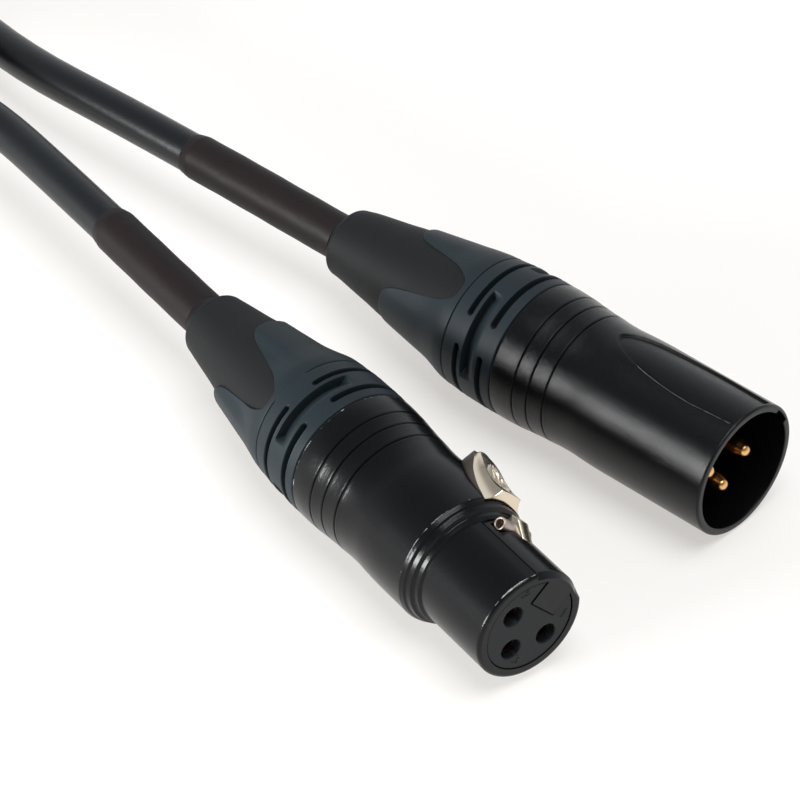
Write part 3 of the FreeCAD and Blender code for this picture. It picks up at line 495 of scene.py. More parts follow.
def leaning_grid(name, depth, radius, angle):
    """Surface of revolution that leans a little sideways behind the ring, less again at the cable."""
    lean = LEAN[name] * step_down(11.5 - depth, 5) * (1 - 0.55 * step_down(33.5 - depth, 3))
    return in_row_frame(
        PLACE[name], SHELL_END[name] + depth, radius * np.sin(angle) + lean * math.sin(LEAN_TO),
        radius * np.cos(angle) + lean * math.cos(LEAN_TO))


def slotted_ring(name):
    """Ring of the bushing. Its outer radius is a smooth curve; two rows of three thin slots are let into
    it, and between them three wedges that get deeper to the rear. A fine line parts it from the skin."""
    third = 2 * math.pi / 3
    slot_half, wedge_half = (math.radians(half) * SLOT_RADIUS for half in (47.5, 37))
    depth = bunch((0.02, 0.3, 6), (0.3, 1.3, 5), (1.3, 2.9, 36), (2.9, 3.5, 8), (3.5, 5.05, 14),
                  (5.05, 5.4, 14), (5.4, 5.5, 2), (5.5, 7.1, 36), (7.1, 8.5, 6), (8.5, 9.1, 16),
                  (9.1, 9.3, 4))
    x, a = all_round(depth, 540)
    radius = smooth_through(x, RING)
    radius = radius - 0.5 * np.clip(1 - x / 0.28, 0, 1) ** 2
    to_bridge = (a - math.radians(BRIDGE[name]) + third / 2) % third - third / 2
    to_slot = (to_bridge + third) % third - third / 2
    for at, half in ((2.1, 0.46), (6.3, 0.42)):
        gap = box_distance(x - at, to_slot * SLOT_RADIUS, half, slot_half, half)
        radius = radius - 1.5 * step_down(gap, 0.1) + 0.03 * step_down(np.abs(gap) - 0.12, 0.2)
    wedge = np.clip((x - 3.0) / 2.15, 0, 1) ** 1.5 * step_down(x - 5.2, 0.2)
    radius = radius - 1.5 * wedge * step_down(np.abs(to_bridge) * SLOT_RADIUS - wedge_half, 1.0)
    fade = 1.0 if name == "male" else step_down(math.radians(16) - np.abs(to_bridge), 0.2)
    radius = radius - 0.22 * fade * step_down(np.abs(x - 8.8) - 0.07, 0.12)
    return round_grid(PLACE[name], SHELL_END[name] + x, radius, a)


def tongued_skin(name):
    """The tapering skin with its tongues. Rows run from the parting line to the rear edge, whose depth
    depends on the angle, and then round a small lip down into the rubber. It lies lower at the edges of
    the tongues."""
    rows, lip_rows = 60, 7
    share, a = all_round(np.concatenate([np.linspace(0, 1, rows), np.ones(lip_rows)]), 900)
    lip = np.concatenate([np.zeros(rows), np.linspace(0.1, 1, lip_rows)])[:, None]
    third = from_scallop(a, name)
    edge = smooth_through(third, EDGE)
    x = SKIN_START + share * (edge - SKIN_START) + 0.25 * np.sin(lip * math.pi / 2)
    radius = smooth_through(x, SKIN) - SUNK[name] * step_down(third - 36, 16) * step_down(13.5 - x, 6)
    return leaning_grid(name, x, radius - 0.95 * (1 - np.cos(lip * math.pi / 2)), a)


BOOT_OUT = [(9.0, 9.05), (10.5, 8.95), (12.5, 8.72), (14.5, 8.4), (16.5, 8.02), (18.5, 7.64),
            (20.5, 7.32), (22.5, 6.99), (24.5, 6.66), (26.5, 6.28), (28.5, 5.95), (30.5, 5.62),
            (32.5, 5.27), (35, 4.8)]
BOOT_SLIMMER = {"male": 0.0, "female": 0.36}
BOOT_LAST = {"male": 35.0, "female": 33.8}
BOOT_ROUND = 1.1


def boot_skin(name):
    """Rubber boot: a smooth curve of revolution a little under the skin, rounded off where the cable
    leaves it, then a short neck and the wall of its mouth."""
    last = BOOT_LAST[name]
    neck = REAR[name] * 1000 - SHELL_END[name] - 0.02
    depth = np.linspace(9.0, last - BOOT_ROUND, 130)
    radius = smooth_through(depth, BOOT_OUT) - BOOT_SLIMMER[name]
    swing = np.linspace(0, math.pi / 2, 14)[1:]
    depth = np.concatenate([
        depth, last - BOOT_ROUND + BOOT_ROUND * np.sin(swing), [last, neck, neck, last - 2.0]])
    radius = np.concatenate([
        radius, radius[-1] - 1.2 * (1 - np.cos(swing)), [3.36, SLEEVE, SLEEVE_BORE, SLEEVE_BORE]])
    x, a = all_round(depth, 256)
    return leaning_grid(name, x, radius[:, None], a)


slate = plain_material("slate_skin", (0.0098, 0.0157, 0.0195), 0.5, gloss=0.2)
grain(slate, 2500, 0.12, 0.0001)
rubber = plain_material("boot_rubber", (0.0052, 0.0057, 0.0061), 0.6, gloss=0.2)
grain(rubber, 3000, 0.25, 0.0001)
for name in ("male", "female"):
    ring, tongues, boot = (
        grid_mesh(name + part, skin(name), (False, True))
        for part, skin in (("_ring", slotted_ring), ("_tongues", tongued_skin), ("_boot", boot_skin)))
    show(name + "_ring", ring, slate, "cable", "skin")
    show(name + "_tongues", tongues, slate, "cable", "skin", name + "_bushing")
    show(name + "_boot_skin", boot, rubber, "cable", "boot", name + "_boot")

# The male shell: die-cast barrel under satin black lacquer, with a shallow finger recess over the key
# and three fine grooves where it widens to the bushing.
FLARE = [(-20, 9.5), (-17, 9.5), (-14.5, 9.43), (-12, 9.31), (-10.5, 9.33), (-8.8, 9.42), (-6.2, 9.58),
         (-3.87, 9.80), (-1.8, 9.93), (-0.3, 9.95), (0, 9.95)]
GROOVES = (-8.8, -6.2, -3.87)
BARREL = 9.5
REAR_BORE = 8.5
MOUTH_BORE = 8.44
RIB = 7.98
RECESS_WIDEST, RECESS_TAPER = 7.3, 15.3
FAR = 9.0
REAR_ROWS = ((-12, -9.3, 8), (-9.3, -9.05, 4), (-9.05, -8.55, 20), (-8.55, -6.45, 10), (-6.45, -5.95, 20),
             (-5.95, -4.12, 10), (-4.12, -3.62, 20), (-3.62, -0.4, 10), (-0.4, 0, 8))


def flared(x, end):
    """Outer radius of the rear of a shell: a faint waist, three fine grooves with swollen edges, and a
    widening to the rear edge."""
    u = x - end
    radius = smooth_through(u, FLARE)
    for groove in GROOVES:
        near = np.abs(u - groove)
        radius = radius - 0.27 * np.clip(1 - near / 0.17, 0, 1) ** 0.8
        radius = radius + 0.02 * np.exp(-((near - 0.35) / 0.2) ** 2)
    return radius - 0.4 * np.clip((u + 0.25) / 0.25, 0, 1) ** 2


def male_barrel():
    """Barrel as one closed outline turned round the axis: mouth, rounded rim, outside, rear edge and
    bore. The recess is let in where a point lies inside its outline, which widens a little from the rim
    and tapers behind in half an ellipse. Inside, the guide rib stands under the recess, with a groove
    beside it that is open at the rim. Also gives the distance to the recess's edge along the near side's
    front part, where a painted highlight is drawn."""
    end = SHELL_END["male"]
    rim = np.linspace(0, math.pi / 2, 10)
    front_x = np.concatenate([0.15 - 0.15 * np.sin(rim), 0.35 - 0.35 * np.cos(rim)])
    front_r = np.concatenate([MOUTH_BORE + 0.15 - 0.15 * np.cos(rim), BARREL - 0.35 + 0.35 * np.sin(rim)])
    outside = np.concatenate([
        bunch((0.38, 0.65, 10), (0.65, 14, 44), (14, 22.9, 80), (22.9, end - 12, 2)),
        end + bunch(*REAR_ROWS), [end]])
    bore = np.array([16.6, 16.45, 12, 8, 4, 1.5, 1.4, 0.8])
    back = np.concatenate([
        [(end, BARREL), (end, REAR_BORE), (end - 2, REAR_BORE), (24, REAR_BORE), (17, REAR_BORE)],
        np.stack([bore, np.full(8, MOUTH_BORE)], -1)])
    depth = np.concatenate([front_x, outside, back[:, 0]])
    radius = np.concatenate([front_r, flared(outside, end), back[:, 1]])
    turned = np.radians(bunch(
        (-180, -60, 30), (-60, -34, 52), (-34, -30, 3), (-30, -20, 28), (-20, 20, 90), (20, 30, 28),
        (30, 38, 8), (38, 180, 40)))
    x, a = np.meshgrid(depth, turned, indexing="ij")
    r = radius[:, None]
    half = np.interp(x, [1.0, RECESS_WIDEST], [4.0, 4.36])
    behind = np.maximum(x - RECESS_WIDEST, 0)
    aside = np.maximum(np.abs(a) * BARREL, 0.05)
    reach = np.hypot(behind / RECESS_TAPER, aside / half)
    recess = (reach - 1) * reach / np.hypot(behind / RECESS_TAPER ** 2, aside / half ** 2)
    recess = np.maximum(recess, 0.5 - x)
    out = (r > 8.9) & (x < 24)
    r = r - np.where(out, 0.34 * step_down(recess, 0.16), 0)
    inside = (r < MOUTH_BORE + 0.2) & (x < 16.7)
    beside = np.abs(np.degrees(a) + 47) - 10.5
    r = r + np.where(inside, 0.55 * step_down(beside, 1.5), 0)
    rib = inside & (x > 1.45) & (x < 16.5)
    r = r - np.where(rib, (MOUTH_BORE - RIB) * step_down(np.abs(np.degrees(a)) - 35.6, 0.5), 0)
    # The near side of the recess's edge, from the rim to about 17 mm, gets a painted highlight.
    highlit_edge = out & (x > 0.75) & (x < 17) & (a > 0)
    return round_grid(MALE, x, r, a), np.where(highlit_edge, recess, FAR)


def paint_highlight(material, scale, highlight_colour):
    """Paint a highlight: show a lighter grey where the mesh's highlight attribute is higher than a noise.
    """
    nodes, links = material.node_tree.nodes, material.node_tree.links
    amount = nodes.new("ShaderNodeAttribute")
    amount.attribute_name = "edge_highlight"
    over = nodes.new("ShaderNodeMath")
    over.operation = "SUBTRACT"
    sharp = nodes.new("ShaderNodeMapRange")
    sharp.inputs["From Min"].default_value = 0.10
    sharp.inputs["From Max"].default_value = 0.22
    mixed = nodes.new("ShaderNodeMix")
    mixed.data_type = "RGBA"
    mixed.inputs["A"].default_value = nodes["Principled BSDF"].inputs["Base Color"].default_value
    mixed.inputs["B"].default_value = (*highlight_colour, 1)
    links.new(amount.outputs["Fac"], over.inputs[0])
    links.new(noise_of(material, scale, 3.0), over.inputs[1])
    links.new(over.outputs[0], sharp.inputs["Value"])
    links.new(sharp.outputs["Result"], mixed.inputs["Factor"])
    links.new(mixed.outputs["Result"], nodes["Principled BSDF"].inputs["Base Color"])


def satin_lacquer(name, grain_scale, grain_depth):
    """Black lacquer with its fine orange peel, and a painted highlight in a lighter grey where the mesh
    says so.
    """
    material = plain_material(name, (0.0028, 0.0030, 0.0034), 0.21, gloss=0.28)
    material.node_tree.nodes["Principled BSDF"].inputs["IOR"].default_value = 1.42
    grain(material, grain_scale, 0.4, grain_depth)
    # Painted highlight: a lighter grey, streaked by noise, where the mesh's attribute is high.
    paint_highlight(material, 850, (0.26, 0.27, 0.26))
    return material


lacquer = satin_lacquer("grainy_lacquer", 6200, 0.00012)
points, to_recess = male_barrel()
mesh = grid_mesh("male_barrel", points, (True, True))
# Painted highlight: a narrow bright line along the recess's edge, drawn in the lacquer's lighter grey.
bright = np.exp(-((to_recess - 0.03) / 0.1) ** 2)
mesh.attributes.new("edge_highlight", "FLOAT", "POINT").data.foreach_set("value", bright.ravel())
show("male_barrel", mesh, lacquer, "cable", "barrel", "male_shell")

# The male contacts: three turned brass pins, gold plated, with round tips that end a little behind the
# rim. Each is pressed into the insert, and its solder cup is at the insert's rear.
CONTACTS = ((-3.81, 0), (3.81, 0), (0, -3.81))
TIP_BEHIND_RIM = 2.25
TIP = 0.94


def contact_pin(spot):
    """A pin as a curve of revolution about its own line: a round tip, a short cone, a straight shaft."""
    swing = np.linspace(0.02, math.pi / 2, 12)
    depth = np.concatenate([TIP_BEHIND_RIM + TIP * (1 - np.cos(swing)), [3.7, 4.0, 16.4, 17]])
    radius = np.concatenate([TIP * np.sin(swing) + 0.02, [1.14, 1.2, 1.2, 1.2]])
    x, a = all_round(depth, 48)
    return in_row_frame(
        MALE, x, spot[0] + radius[:, None] * np.sin(a), spot[1] + radius[:, None] * np.cos(a))


gold = plain_material("gold_plate", (0.86, 0.49, 0.19), 0.24, 1.0)
for number, spot in enumerate(CONTACTS, 1):
    name = "pin_%d" % number
    mesh = grid_mesh(name, contact_pin(spot), (False, True))
    show(name, mesh, gold, "cable", "contact", "male_" + name)

# The female shell: the same die-cast and lacquered barrel, with a round nose in front of a stepped
# shoulder. A keyway is let into the nose, and openings are cut for the latch, its pin and its button.
NOSE = 7.93
KEYWAY = 7.72
FACE_BORE = 6.6
LUG_HALF, LUG_FLOOR = 2.5, 2.63
SHOULDER = [(12.1, 7.93), (12.22, 7.93), (12.45, 8.27), (13.05, 8.36), (13.3, 8.86), (13.95, 9.02),
            (14.2, 9.3), (14.5, 9.38), (14.8, 9.5), (15.5, 9.5)]
WINDOW = [(13.6, 4.55), (14.15, 4.45), (16.7, 4.15), (19.2, 3.65), (21.0, 2.95), (22.3, 2.2),
          (23.3, 1.35), (23.9, 0.65), (24.15, 0.0), (25.0, -1.0)]
NOSE_END = 12.15
PIN_BEHIND_FACE = 10.55
SLOT_MIDDLE, SLOT_HALF, SLOT_SIDE = 10.08, 2.22, 1.26
TROUGH_HALF, TROUGH_SIDE = 1.08, 4.05
MM_PER_RADIAN = 9


def wrapped(angle):
    """An angle brought to between minus and plus half a turn."""
    return (angle + math.pi) % (2 * math.pi) - math.pi


def face_columns():
    """The columns of the shell's grid: for each a point (y, z) of the face ring's inner outline and the
    angle of the outside that it's ruled to. The outline is the bore's circle with the key lug in it."""
    step = math.asin(LUG_HALF / FACE_BORE)
    edge = math.degrees(step)
    arc = np.radians(bunch(
        (edge, 36, 20), (36, 45, 24), (45, 315, 150), (315, 324, 24), (324, 360 - edge, 20)))
    circle = FACE_BORE * np.stack([np.sin(arc), np.cos(arc)], -1)
    top = FACE_BORE * math.cos(step)
    corners = np.array([(-LUG_HALF, top), (-LUG_HALF, LUG_FLOOR + 0.12), (0.1 - LUG_HALF, LUG_FLOOR),
                        (LUG_HALF - 0.1, LUG_FLOOR), (LUG_HALF, LUG_FLOOR + 0.12), (LUG_HALF, top)])
    gone = np.concatenate([[0], np.cumsum(np.linalg.norm(np.diff(corners, axis=0), axis=1))])
    at = bunch((0, gone[-1], 68))
    lug = np.stack([np.interp(at, gone, corners[:, axis]) for axis in (0, 1)], -1)
    turned = bunch((2 * math.pi - step, 2 * math.pi + step, 68))
    return np.concatenate([circle, lug]), wrapped(np.concatenate([arc, turned]))


def nose_radius(x, angle):
    """Radius of the outside. The nose is round behind a small edge radius. Between the keyway's two
    edges the radius falls to the keyway's floor along a slope, narrow on one side, and to a lead-in at
    the face. A fine groove runs along the narrow slope, with a flat strip outside each edge."""
    front = NOSE - 0.5 * (1 - np.sqrt(np.clip(1 - (1 - np.clip(x / 0.5, 0, 1)) ** 2, 0, 1)))
    radius = np.where(x < NOSE_END, front, np.interp(x, *np.array(SHOULDER).T))
    floor = KEYWAY - 0.6 * np.clip(1 - x / 0.8, 0, 1)
    degrees = np.degrees(np.abs(angle))
    flat = NOSE * math.cos(math.radians(5)) / np.cos(np.radians(np.clip(degrees, 39, 50) - 44.5))
    radius = np.where(x < NOSE_END, np.minimum(radius, flat), radius)
    floor = floor - 0.3 * np.exp(-((degrees - 38.3) / 0.6) ** 2) * (angle > 0) * (x > 0.3)
    slope = np.clip((39.6 - degrees) / np.where(angle > 0, 0.8, 13.0), 0, 1)
    slope = np.where(x < 12.12, slope, 0)
    radius = radius - np.maximum(radius - floor, 0) * slope
    return np.where(x > 15.2, flared(x, SHELL_END["female"]), radius)


def latch_openings(x, angle):
    """Distance to the openings over the key, less than zero inside one: the hook's slot, the trough of
    the roll pin across it, and the button's window, a half width that falls towards the rear."""
    y = np.where(x < 13, KEYWAY, BARREL) * np.sin(angle)
    slot = box_distance(x - SLOT_MIDDLE, y, SLOT_HALF, SLOT_SIDE, 0.1)
    trough = box_distance(x - PIN_BEHIND_FACE, y, TROUGH_HALF, TROUGH_SIDE, 0.2)
    depth, half = np.array(WINDOW).T
    slant = np.interp(x, depth, np.gradient(half, depth))
    window = np.maximum((np.abs(y) - np.interp(x, depth, half)) / np.hypot(1, slant), 14.12 - x)
    return np.where(np.cos(angle) > 0, np.minimum(np.minimum(slot, trough), window), FAR)


def snapped(across, along, corners, distance):
    """Move the points that an opening's edge runs past on to the edge, down the distance's gradient, and
    tell which faces lie in an opening. Both coordinates are in millimetres, or near it. A face over the
    seam of a closed grid, which has corners at both ends of the range, lies in none."""
    middle = [values[corners].mean(1) for values in (across, along)]
    over_seam = np.ptp(along[corners], axis=1) > FAR
    gone = (distance(*middle) < 0) & ~over_seam
    rim = np.intersect1d(corners[gone], corners[~gone])
    u, v = across.copy(), along.copy()
    small = 1e-3
    for _ in range(4):
        here = distance(u[rim], v[rim])
        du = (distance(u[rim] + small, v[rim]) - here) / small
        dv = (distance(u[rim], v[rim] + small) - here) / small
        steep = np.maximum(du ** 2 + dv ** 2, 0.2)
        u[rim] -= here * du / steep
        v[rim] -= here * dv / steep
    return u, v, gone


def with_walls(points, inward, corners, gone):
    """Leave out the faces in openings, and let a wall down round each opening to the points inward."""
    count = len(points)
    edges = [np.stack([some, np.roll(some, -1, 1)], -1).reshape(-1, 2)
             for some in (corners[~gone], corners[gone])]
    keys = [edges[0][:, 0] * count + edges[0][:, 1], edges[1][:, 1] * count + edges[1][:, 0]]
    rim = edges[0][np.isin(*keys)]
    walls = np.stack([rim[:, 1], rim[:, 0], rim[:, 0] + count, rim[:, 1] + count], -1)
    return np.concatenate([points, inward]), np.concatenate([corners[~gone], walls])


def female_barrel():
    """The shell as one grid. Its rows run out along the lug's and the bore's wall, over the face ring,
    which is ruled between its two outlines, and back over the nose, the shoulder and the barrel to the
    rear edge and into the rear bore. The openings' walls run straight down."""
    end = SHELL_END["female"]
    inner, angle = face_columns()
    columns = len(angle)
    front = bunch((0.0, 0.5, 10), (0.5, 1.7, 10), (1.7, 7.6, 10), (7.6, 12.05, 40), (12.05, 14.9, 36),
                  (14.9, 24.6, 70), (24.6, 26.0, 3))
    depth = np.concatenate([front, end + bunch(*REAR_ROWS), [end]])
    x, a = np.meshgrid(depth, angle, indexing="ij")
    corners = grid_corners(len(depth), columns, (False, True))
    at, along, gone = snapped(
        x.ravel(), a.ravel() * MM_PER_RADIAN, corners, lambda u, v: latch_openings(u, v / MM_PER_RADIAN))
    x, a = at.reshape(x.shape), along.reshape(a.shape) / MM_PER_RADIAN
    radius = nose_radius(x, a)
    outside = np.stack([x, radius * np.sin(a), radius * np.cos(a)], -1)
    under = outside - [0, 0, 1.0]
    wall = np.stack([np.concatenate([[[deep]] * columns, inner], -1) for deep in (2.2, 1.0, 0.3, 0.04)])
    share = np.array([0.01, 0.05, 0.2, 0.4, 0.6, 0.8, 0.95])[:, None, None]
    ruled = inner + share * (outside[0, :, 1:] - inner)
    face = np.concatenate([np.zeros_like(ruled[..., :1]), ruled], -1)
    rear = np.stack([
        np.stack([np.full(columns, deep), r * np.sin(angle), r * np.cos(angle)], -1)
        for deep, r in ((end, BARREL), (end, REAR_BORE), (end - 3, REAR_BORE), (end - 14, REAR_BORE))])
    points = np.concatenate([wall, face, outside, rear])
    inward = np.concatenate([wall, face, under, rear])
    before = len(wall) + len(face)
    corners = grid_corners(len(points), columns, (False, True))
    lost = np.zeros((len(points) - 1, columns), dtype=bool)
    lost[before:before + len(depth) - 1] = gone.reshape(len(depth) - 1, columns)
    return with_walls(points.reshape(-1, 3), inward.reshape(-1, 3), corners, lost.ravel())


def edge_highlight(x, y, z):
    """Strength of the painted highlights, drawn in a lighter grey: on the nose's front edge to the left of
    the keyway and along its wall, on the barrel's front edge, and a little on the rear edge."""
    angle = np.degrees(np.arctan2(y, z))
    radius = np.hypot(y, z)
    left = np.clip((angle - 38) / 3, 0, 1) * np.clip((118 - angle) / 40, 0, 1)
    front = 0.72 * np.exp(-((x - 0.42) / 0.16) ** 2) * left * (radius > 7)
    wall = 0.6 * np.exp(-((angle - 39.6) / 1.2) ** 2) * (x < 2.2) * (x > 0.3)
    rim = 0.62 * np.exp(-((x - 14.85) / 0.14) ** 2) * np.clip((angle - 25) / 10, 0, 1) * (radius > 9)
    rear = 0.55 * np.exp(-((x - 37.75) / 0.25) ** 2) * (radius > 9)
    return np.maximum(np.maximum(front, wall), np.maximum(rim, rear))


points, corners = female_barrel()
used = np.unique(corners)
mesh = mesh_from("female_barrel", in_row_frame(FEMALE, *points.T), corners)
mesh.set_sharp_from_angle(angle=math.radians(38))
# Painted highlights along the edges of the nose, the keyway, the shoulder and the rear.
mesh.attributes.new("edge_highlight", "FLOAT", "POINT").data.foreach_set("value", edge_highlight(*points[used].T))
smooth_lacquer = satin_lacquer("smooth_lacquer", 3700, 0.00004)
show("female_barrel", mesh, smooth_lacquer, "cable", "barrel", "female_shell")

# The female insert: a moulded black carrier with three holes, a notch for the shell's key lug, and the
# contacts' numbers raised beside the holes. It's pushed in from the rear and ends just below the ring.
HOLE = 1.45
CARRIER = 6.53
DIGITS = (
    (-4.15, 3.4, [(-0.3, 0.35), (0.02, 0.6), (0.02, -0.6)]),
    (4.45, 3.3, [(-0.36, 0.28), (-0.25, 0.5), (0.02, 0.6), (0.28, 0.45), (0.3, 0.15), (-0.38, -0.58),
                 (0.4, -0.58)]),
    (-2.3, -4.7, [(-0.36, 0.58), (0.34, 0.58), (-0.02, 0.15), (0.3, 0.0), (0.3, -0.36), (0.0, -0.58),
                  (-0.36, -0.48)]),
)


def carrier_gaps(y, z):
    """Distance to what isn't carrier, less than zero outside its circle, in its notch and in its holes."""
    gaps = CARRIER - np.hypot(y + 0.03, z + 0.03)
    notch = np.maximum(np.abs(y - 0.045) - LUG_HALF - 0.08, LUG_FLOOR - 0.12 - z)
    gaps = np.minimum(gaps, notch)
    for spot in CONTACTS:
        gaps = np.minimum(gaps, np.hypot(y - spot[0], z - spot[1]) - HOLE)
    return gaps


def stroke_distance(across, up, figure):
    """Distance to a figure drawn as straight strokes from point to point."""
    nearest = np.full(across.shape, FAR)
    for (ax, az), (bx, bz) in zip(figure, figure[1:]):
        wide, tall = bx - ax, bz - az
        share = ((across - ax) * wide + (up - az) * tall) / (wide ** 2 + tall ** 2)
        share = np.clip(share, 0, 1)
        nearest = np.minimum(nearest, np.hypot(across - ax - share * wide, up - az - share * tall))
    return nearest


def carrier_face():
    """The carrier's face as a height field: small chamfers round the holes and raised figures, with
    walls let down round all its edges."""
    side = np.linspace(-6.65, 6.65, 168)
    z, y = np.meshgrid(side, side, indexing="ij")
    corners = grid_corners(len(side), len(side), (False, False))
    y, z, gone = snapped(y.ravel(), z.ravel(), corners, carrier_gaps)
    gaps = carrier_gaps(y, z)
    x = 0.09 + 0.12 * np.clip(1 - gaps / 0.14, 0, 1) ** 2
    for at_y, at_z, figure in DIGITS:
        x = x - 0.11 * step_down(stroke_distance(at_y - y, z - at_z, figure) - 0.1, 0.14)
    points = np.stack([x, y, z], -1)
    return with_walls(points, points + [2.1, 0, 0], corners, gone)


def carrier_body():
    """The carrier behind its face, a surface of revolution that's cut back to a flat under the latch, to
    a lower flat under the roll pin, and to a channel under the bar."""
    front = [(depth, 6.5) for depth in (1.8, 4, 7.7, 7.9, 9.3, 9.5, 11.6, 11.8, 12.4, 12.6, 14.6, 14.85)]
    outline = np.array(front + [
        (14.86, 8.3), (17.3, 8.3), (17.35, 6.8), (20, 6.8), (24.8, 6.8), (24.85, 6.7), (24.86, 0.01)])
    x, a = all_round(outline[:, 0], 360)
    radius = outline[:, 1:]
    y = np.abs(radius * np.sin(a))
    flat = np.where((x > 14.4) & (y < 4.7), 5.4, 99)
    flat = np.where((x > 9.4) & (x < 11.7) & (y < 4.2), 5.1, flat)
    flat = np.where((x > 7.8) & (y < 1.95), 3.3, flat)
    upright = np.where(np.cos(a) > 0.2, np.cos(a), 0.2)
    radius = np.where(np.cos(a) > 0.2, np.minimum(radius, flat / upright), radius)
    return round_grid(FEMALE, x, radius, a)


points, corners = carrier_face()
mesh = mesh_from("female_face", in_row_frame(FEMALE, *points.T), corners)
mesh.set_sharp_from_angle(angle=math.radians(38))
carrier = plain_material("moulded_carrier", (0.0095, 0.0108, 0.0122), 0.5, gloss=0.22)
grain(carrier, 2600, 0.1, 0.0001)
show("female_face", mesh, carrier, "cable", "carrier")
mesh = grid_mesh("female_carrier", carrier_body(), (False, True))
show("female_carrier", mesh, carrier, "cable", "carrier", "female_insert")

# The latch: a die-cast lever under satin nickel plate. The button's skirt and steep rear get a darker,
# rougher copy of the nickel, as painted shade. Its thumb button stands in the shell's window with a
# ribbed hollow for the finger, and its hook stands in the nose. It turns on a pin under the button.
SKIRT = [(14.5, 4.15), (15.2, 4.02), (17.1, 3.74), (18.0, 3.55), (19.9, 2.98), (21.5, 2.18), (22.4, 1.6),
         (23.2, 0.95), (23.8, 0.45), (24.1, 0.12)]
WALL = [(14.5, 8.45), (15.2, 8.62), (17.1, 9.13), (18.4, 9.6), (19.9, 10.27), (21.4, 11.3), (22.3, 11.68),
        (22.9, 10.95), (23.5, 10.1), (24.1, 9.2)]
TOP = [(14.5, 2.15), (16.3, 2.25), (18.0, 2.1), (20.0, 1.8), (21.5, 1.15), (22.3, 0.62), (22.9, 0.4),
       (23.5, 0.25), (24.1, 0.06)]
RIDGE = [(14.5, 10.48), (15.5, 10.45), (16.5, 10.5), (18.0, 10.78), (20.0, 11.45), (21.5, 11.82),
         (22.35, 11.86), (22.9, 11.15), (23.5, 10.28), (24.1, 9.3)]
BAR = [(8.15, 6.3, 0.2), (8.15, 7.62, 0.12), (10.6, 9.0, 0.1), (11.9, 8.9, 0.15), (12.05, 7.4, 0.3),
       (22.5, 7.4, 0.5), (26.4, 7.3, 0.8), (28.9, 6.6, 0.8), (28.9, 5.6, 0.6), (26.4, 4.8, 0.6),
       (22, 5.2, 0.5), (14, 5.4, 0.5), (12.6, 6.1, 0.4)]


def button_skin():
    """The thumb button: cross-sections along x. Each has an upright skirt, a hollow flank up to the top
    edge, and a slightly crowned top with the finger hollow and its lengthwise ribs sunk into it. The
    first eight close its front end, and the next four round its edge."""
    front, tail = SKIRT[0][0], SKIRT[-1][0]
    along = np.concatenate([
        np.full(8, front), front + np.linspace(0.03, 0.18, 4), bunch((14.8, 22.0, 74), (22.0, 22.8, 14)),
        np.linspace(22.8, tail, 12)])
    skirt, wall, top, ridge = (
        smooth_through(along, knots)[:, None] for knots in (SKIRT, WALL, TOP, RIDGE))
    low = np.full_like(skirt, 7.9)
    up = np.linspace(0, 1, 14)[None, 1:]
    flank_y = skirt + (top - skirt) * up - 0.3 * np.sin(math.pi * up) * (skirt - top) / 2
    flank_z = wall + (ridge - wall) * up - 0.22 * np.sin(math.pi * up) * (skirt - top) / 2
    crown = np.linspace(1, -1, 46)[None, 1:-1]
    crown_y = top * crown
    crown_z = ridge + 0.12 * (1 - crown ** 2) * np.minimum(top, 1)
    spread = ((along[:, None] - 17.75) / 2.45) ** 2 + (crown_y / 1.9) ** 2
    inside = np.clip(1 - spread, 0, 1)
    ribs = 0.11 * np.cos(2 * math.pi * crown_y / 0.62) * np.clip(inside * 4, 0, 1)
    crown_z = crown_z - 0.62 * inside ** 0.8 + ribs
    half_y = np.concatenate([skirt, skirt, flank_y], 1)
    half_z = np.concatenate([low, wall, flank_z], 1)
    y = np.concatenate([half_y, crown_y, -half_y[:, ::-1]], 1)
    z = np.concatenate([half_z, crown_z, half_z[:, ::-1]], 1)
    size = np.ones(len(along))
    size[:8] = 0.001, 0.2, 0.4, 0.6, 0.75, 0.88, 0.95, 0.975
    size[8:12] = 1 - 0.022 * (1 - np.sqrt(1 - (1 - np.linspace(0.1, 1, 4)) ** 2))
    size = size[:, None]
    x = np.broadcast_to(along[:, None], y.shape)
    return in_row_frame(FEMALE, x, y * size, 9.0 + (z - 9.0) * size)


def latch_bar():
    """The bar with its hook: a profile in the plane of the key, thickened, with small rounded edges."""
    outline = rounded_outline(BAR, 0.3, 6)
    middle_x, middle_z = 10.6, 7.5
    run = np.roll(outline, -1, 0) - np.roll(outline, 1, 0)
    run /= np.maximum(np.linalg.norm(run, axis=1, keepdims=True), 1e-9)
    inward = np.stack([run[:, 1], -run[:, 0]], -1)
    sides = ((-1.12, 0.11), (-1.08, 0.04), (-1.0, 0), (1.0, 0), (1.08, 0.04), (1.12, 0.11))
    loops = [np.insert(outline + inset * inward, 1, side, 1) for side, inset in sides]
    caps = []
    for loop in (loops[0], loops[-1]):
        middle = np.array([middle_x, loop[0, 1], middle_z])
        caps.append(middle + (loop - middle) * 0.001)
    grid = np.stack([caps[0], *loops, caps[1]])
    return in_row_frame(FEMALE, *np.moveaxis(grid, -1, 0))


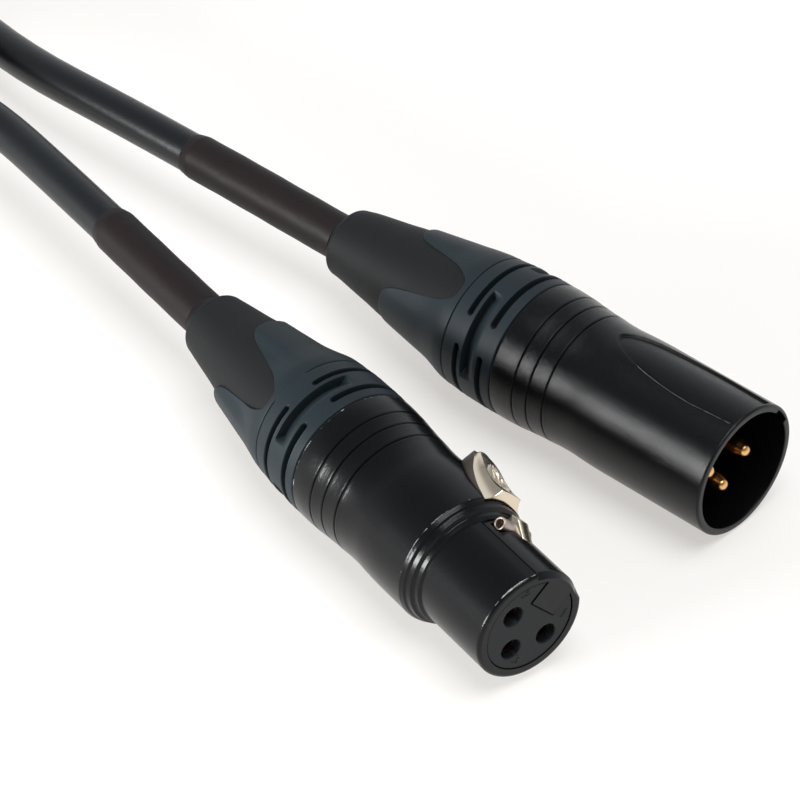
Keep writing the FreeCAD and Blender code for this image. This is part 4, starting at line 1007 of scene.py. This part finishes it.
nickel = plain_material("satin_nickel", (0.80, 0.69, 0.545), 0.24, 1.0)
# Painted shade: a dark, rougher copy of the nickel for the button's upright skirt and steep rear.
shaded_nickel = plain_material("nickel_painted_shade", (0.13, 0.105, 0.09), 0.42, 1.0)
points = button_skin()
button = grid_mesh("latch_button", points, (False, True))
button.set_sharp_from_angle(angle=math.radians(17))
columns, steep_from = points.shape[1], 95
row, column = np.divmod(np.arange(len(button.polygons)), columns)
upright = np.isin(column, (0, columns - 2, columns - 1))
button.materials.append(nickel)
button.materials.append(shaded_nickel)
button.polygons.foreach_set("material_index", (upright | (row > steep_from)).astype(np.int32))
show("latch_button", button, None, "latch", "latch")
bar = grid_mesh("latch_bar", latch_bar(), (False, True))
bar.set_sharp_from_angle(angle=math.radians(34))
show("latch_bar", bar, nickel, "latch", "latch", "female_latch")

# The roll pin: a short tube of spring steel, open at both ends and pressed across the latch's nose. It
# lies in the shell's trough and goes down with the hook.
PIN_HEIGHT = 7.4


def roll_pin():
    """A tube round a line across the connector: outer skin, rounded ring ends, and the bore."""
    outline = np.array([
        (-2.4, 0.7), (-2.36, 0.84), (-2.26, 0.89), (0, 0.89), (3.76, 0.89), (3.86, 0.84), (3.9, 0.7),
        (3.86, 0.62), (3.6, 0.6), (0, 0.6), (-2.1, 0.6), (-2.36, 0.62)])
    y, a = all_round(outline[:, 0], 48)
    x = PIN_BEHIND_FACE + outline[:, 1:] * np.cos(a)
    return in_row_frame(FEMALE, x, y, PIN_HEIGHT - outline[:, 1:] * np.sin(a))


steel = plain_material("spring_steel", (0.46, 0.39, 0.35), 0.4, 1.0)
mesh = grid_mesh("roll_pin", roll_pin(), (True, True))
show("roll_pin", mesh, steel, "latch", "latch", "female_roll_pin")

# The other pieces keep their modelled shapes: moulded chucks and male insert, insulated wires, sockets
# in a copper painted dark as painted shade inside the holes, and the latch's steel spring and pivot.
# Each gets the finish of its slot in the record.
core_skin = plain_material("core_insulation", (0.35, 0.35, 0.36), 0.4)
# Copper painted dark: the metal's colour with painted shade for the sockets deep in the holes.
shaded_copper = plain_material("socket_copper_painted_shade", (0.28, 0.15, 0.08), 0.35, 1.0)
finishes = {"carrier": carrier, "contact": shaded_copper, "chuck": carrier, "core": core_skin, "jacket": jacket,
            "steel": nickel}
for part in record["subparts"]:
    piece = frame["nodes"][part["node"]]
    if not piece.hide_render:
        piece.data.materials.clear()
        piece.data.materials.append(finishes[part["material_slot"]])
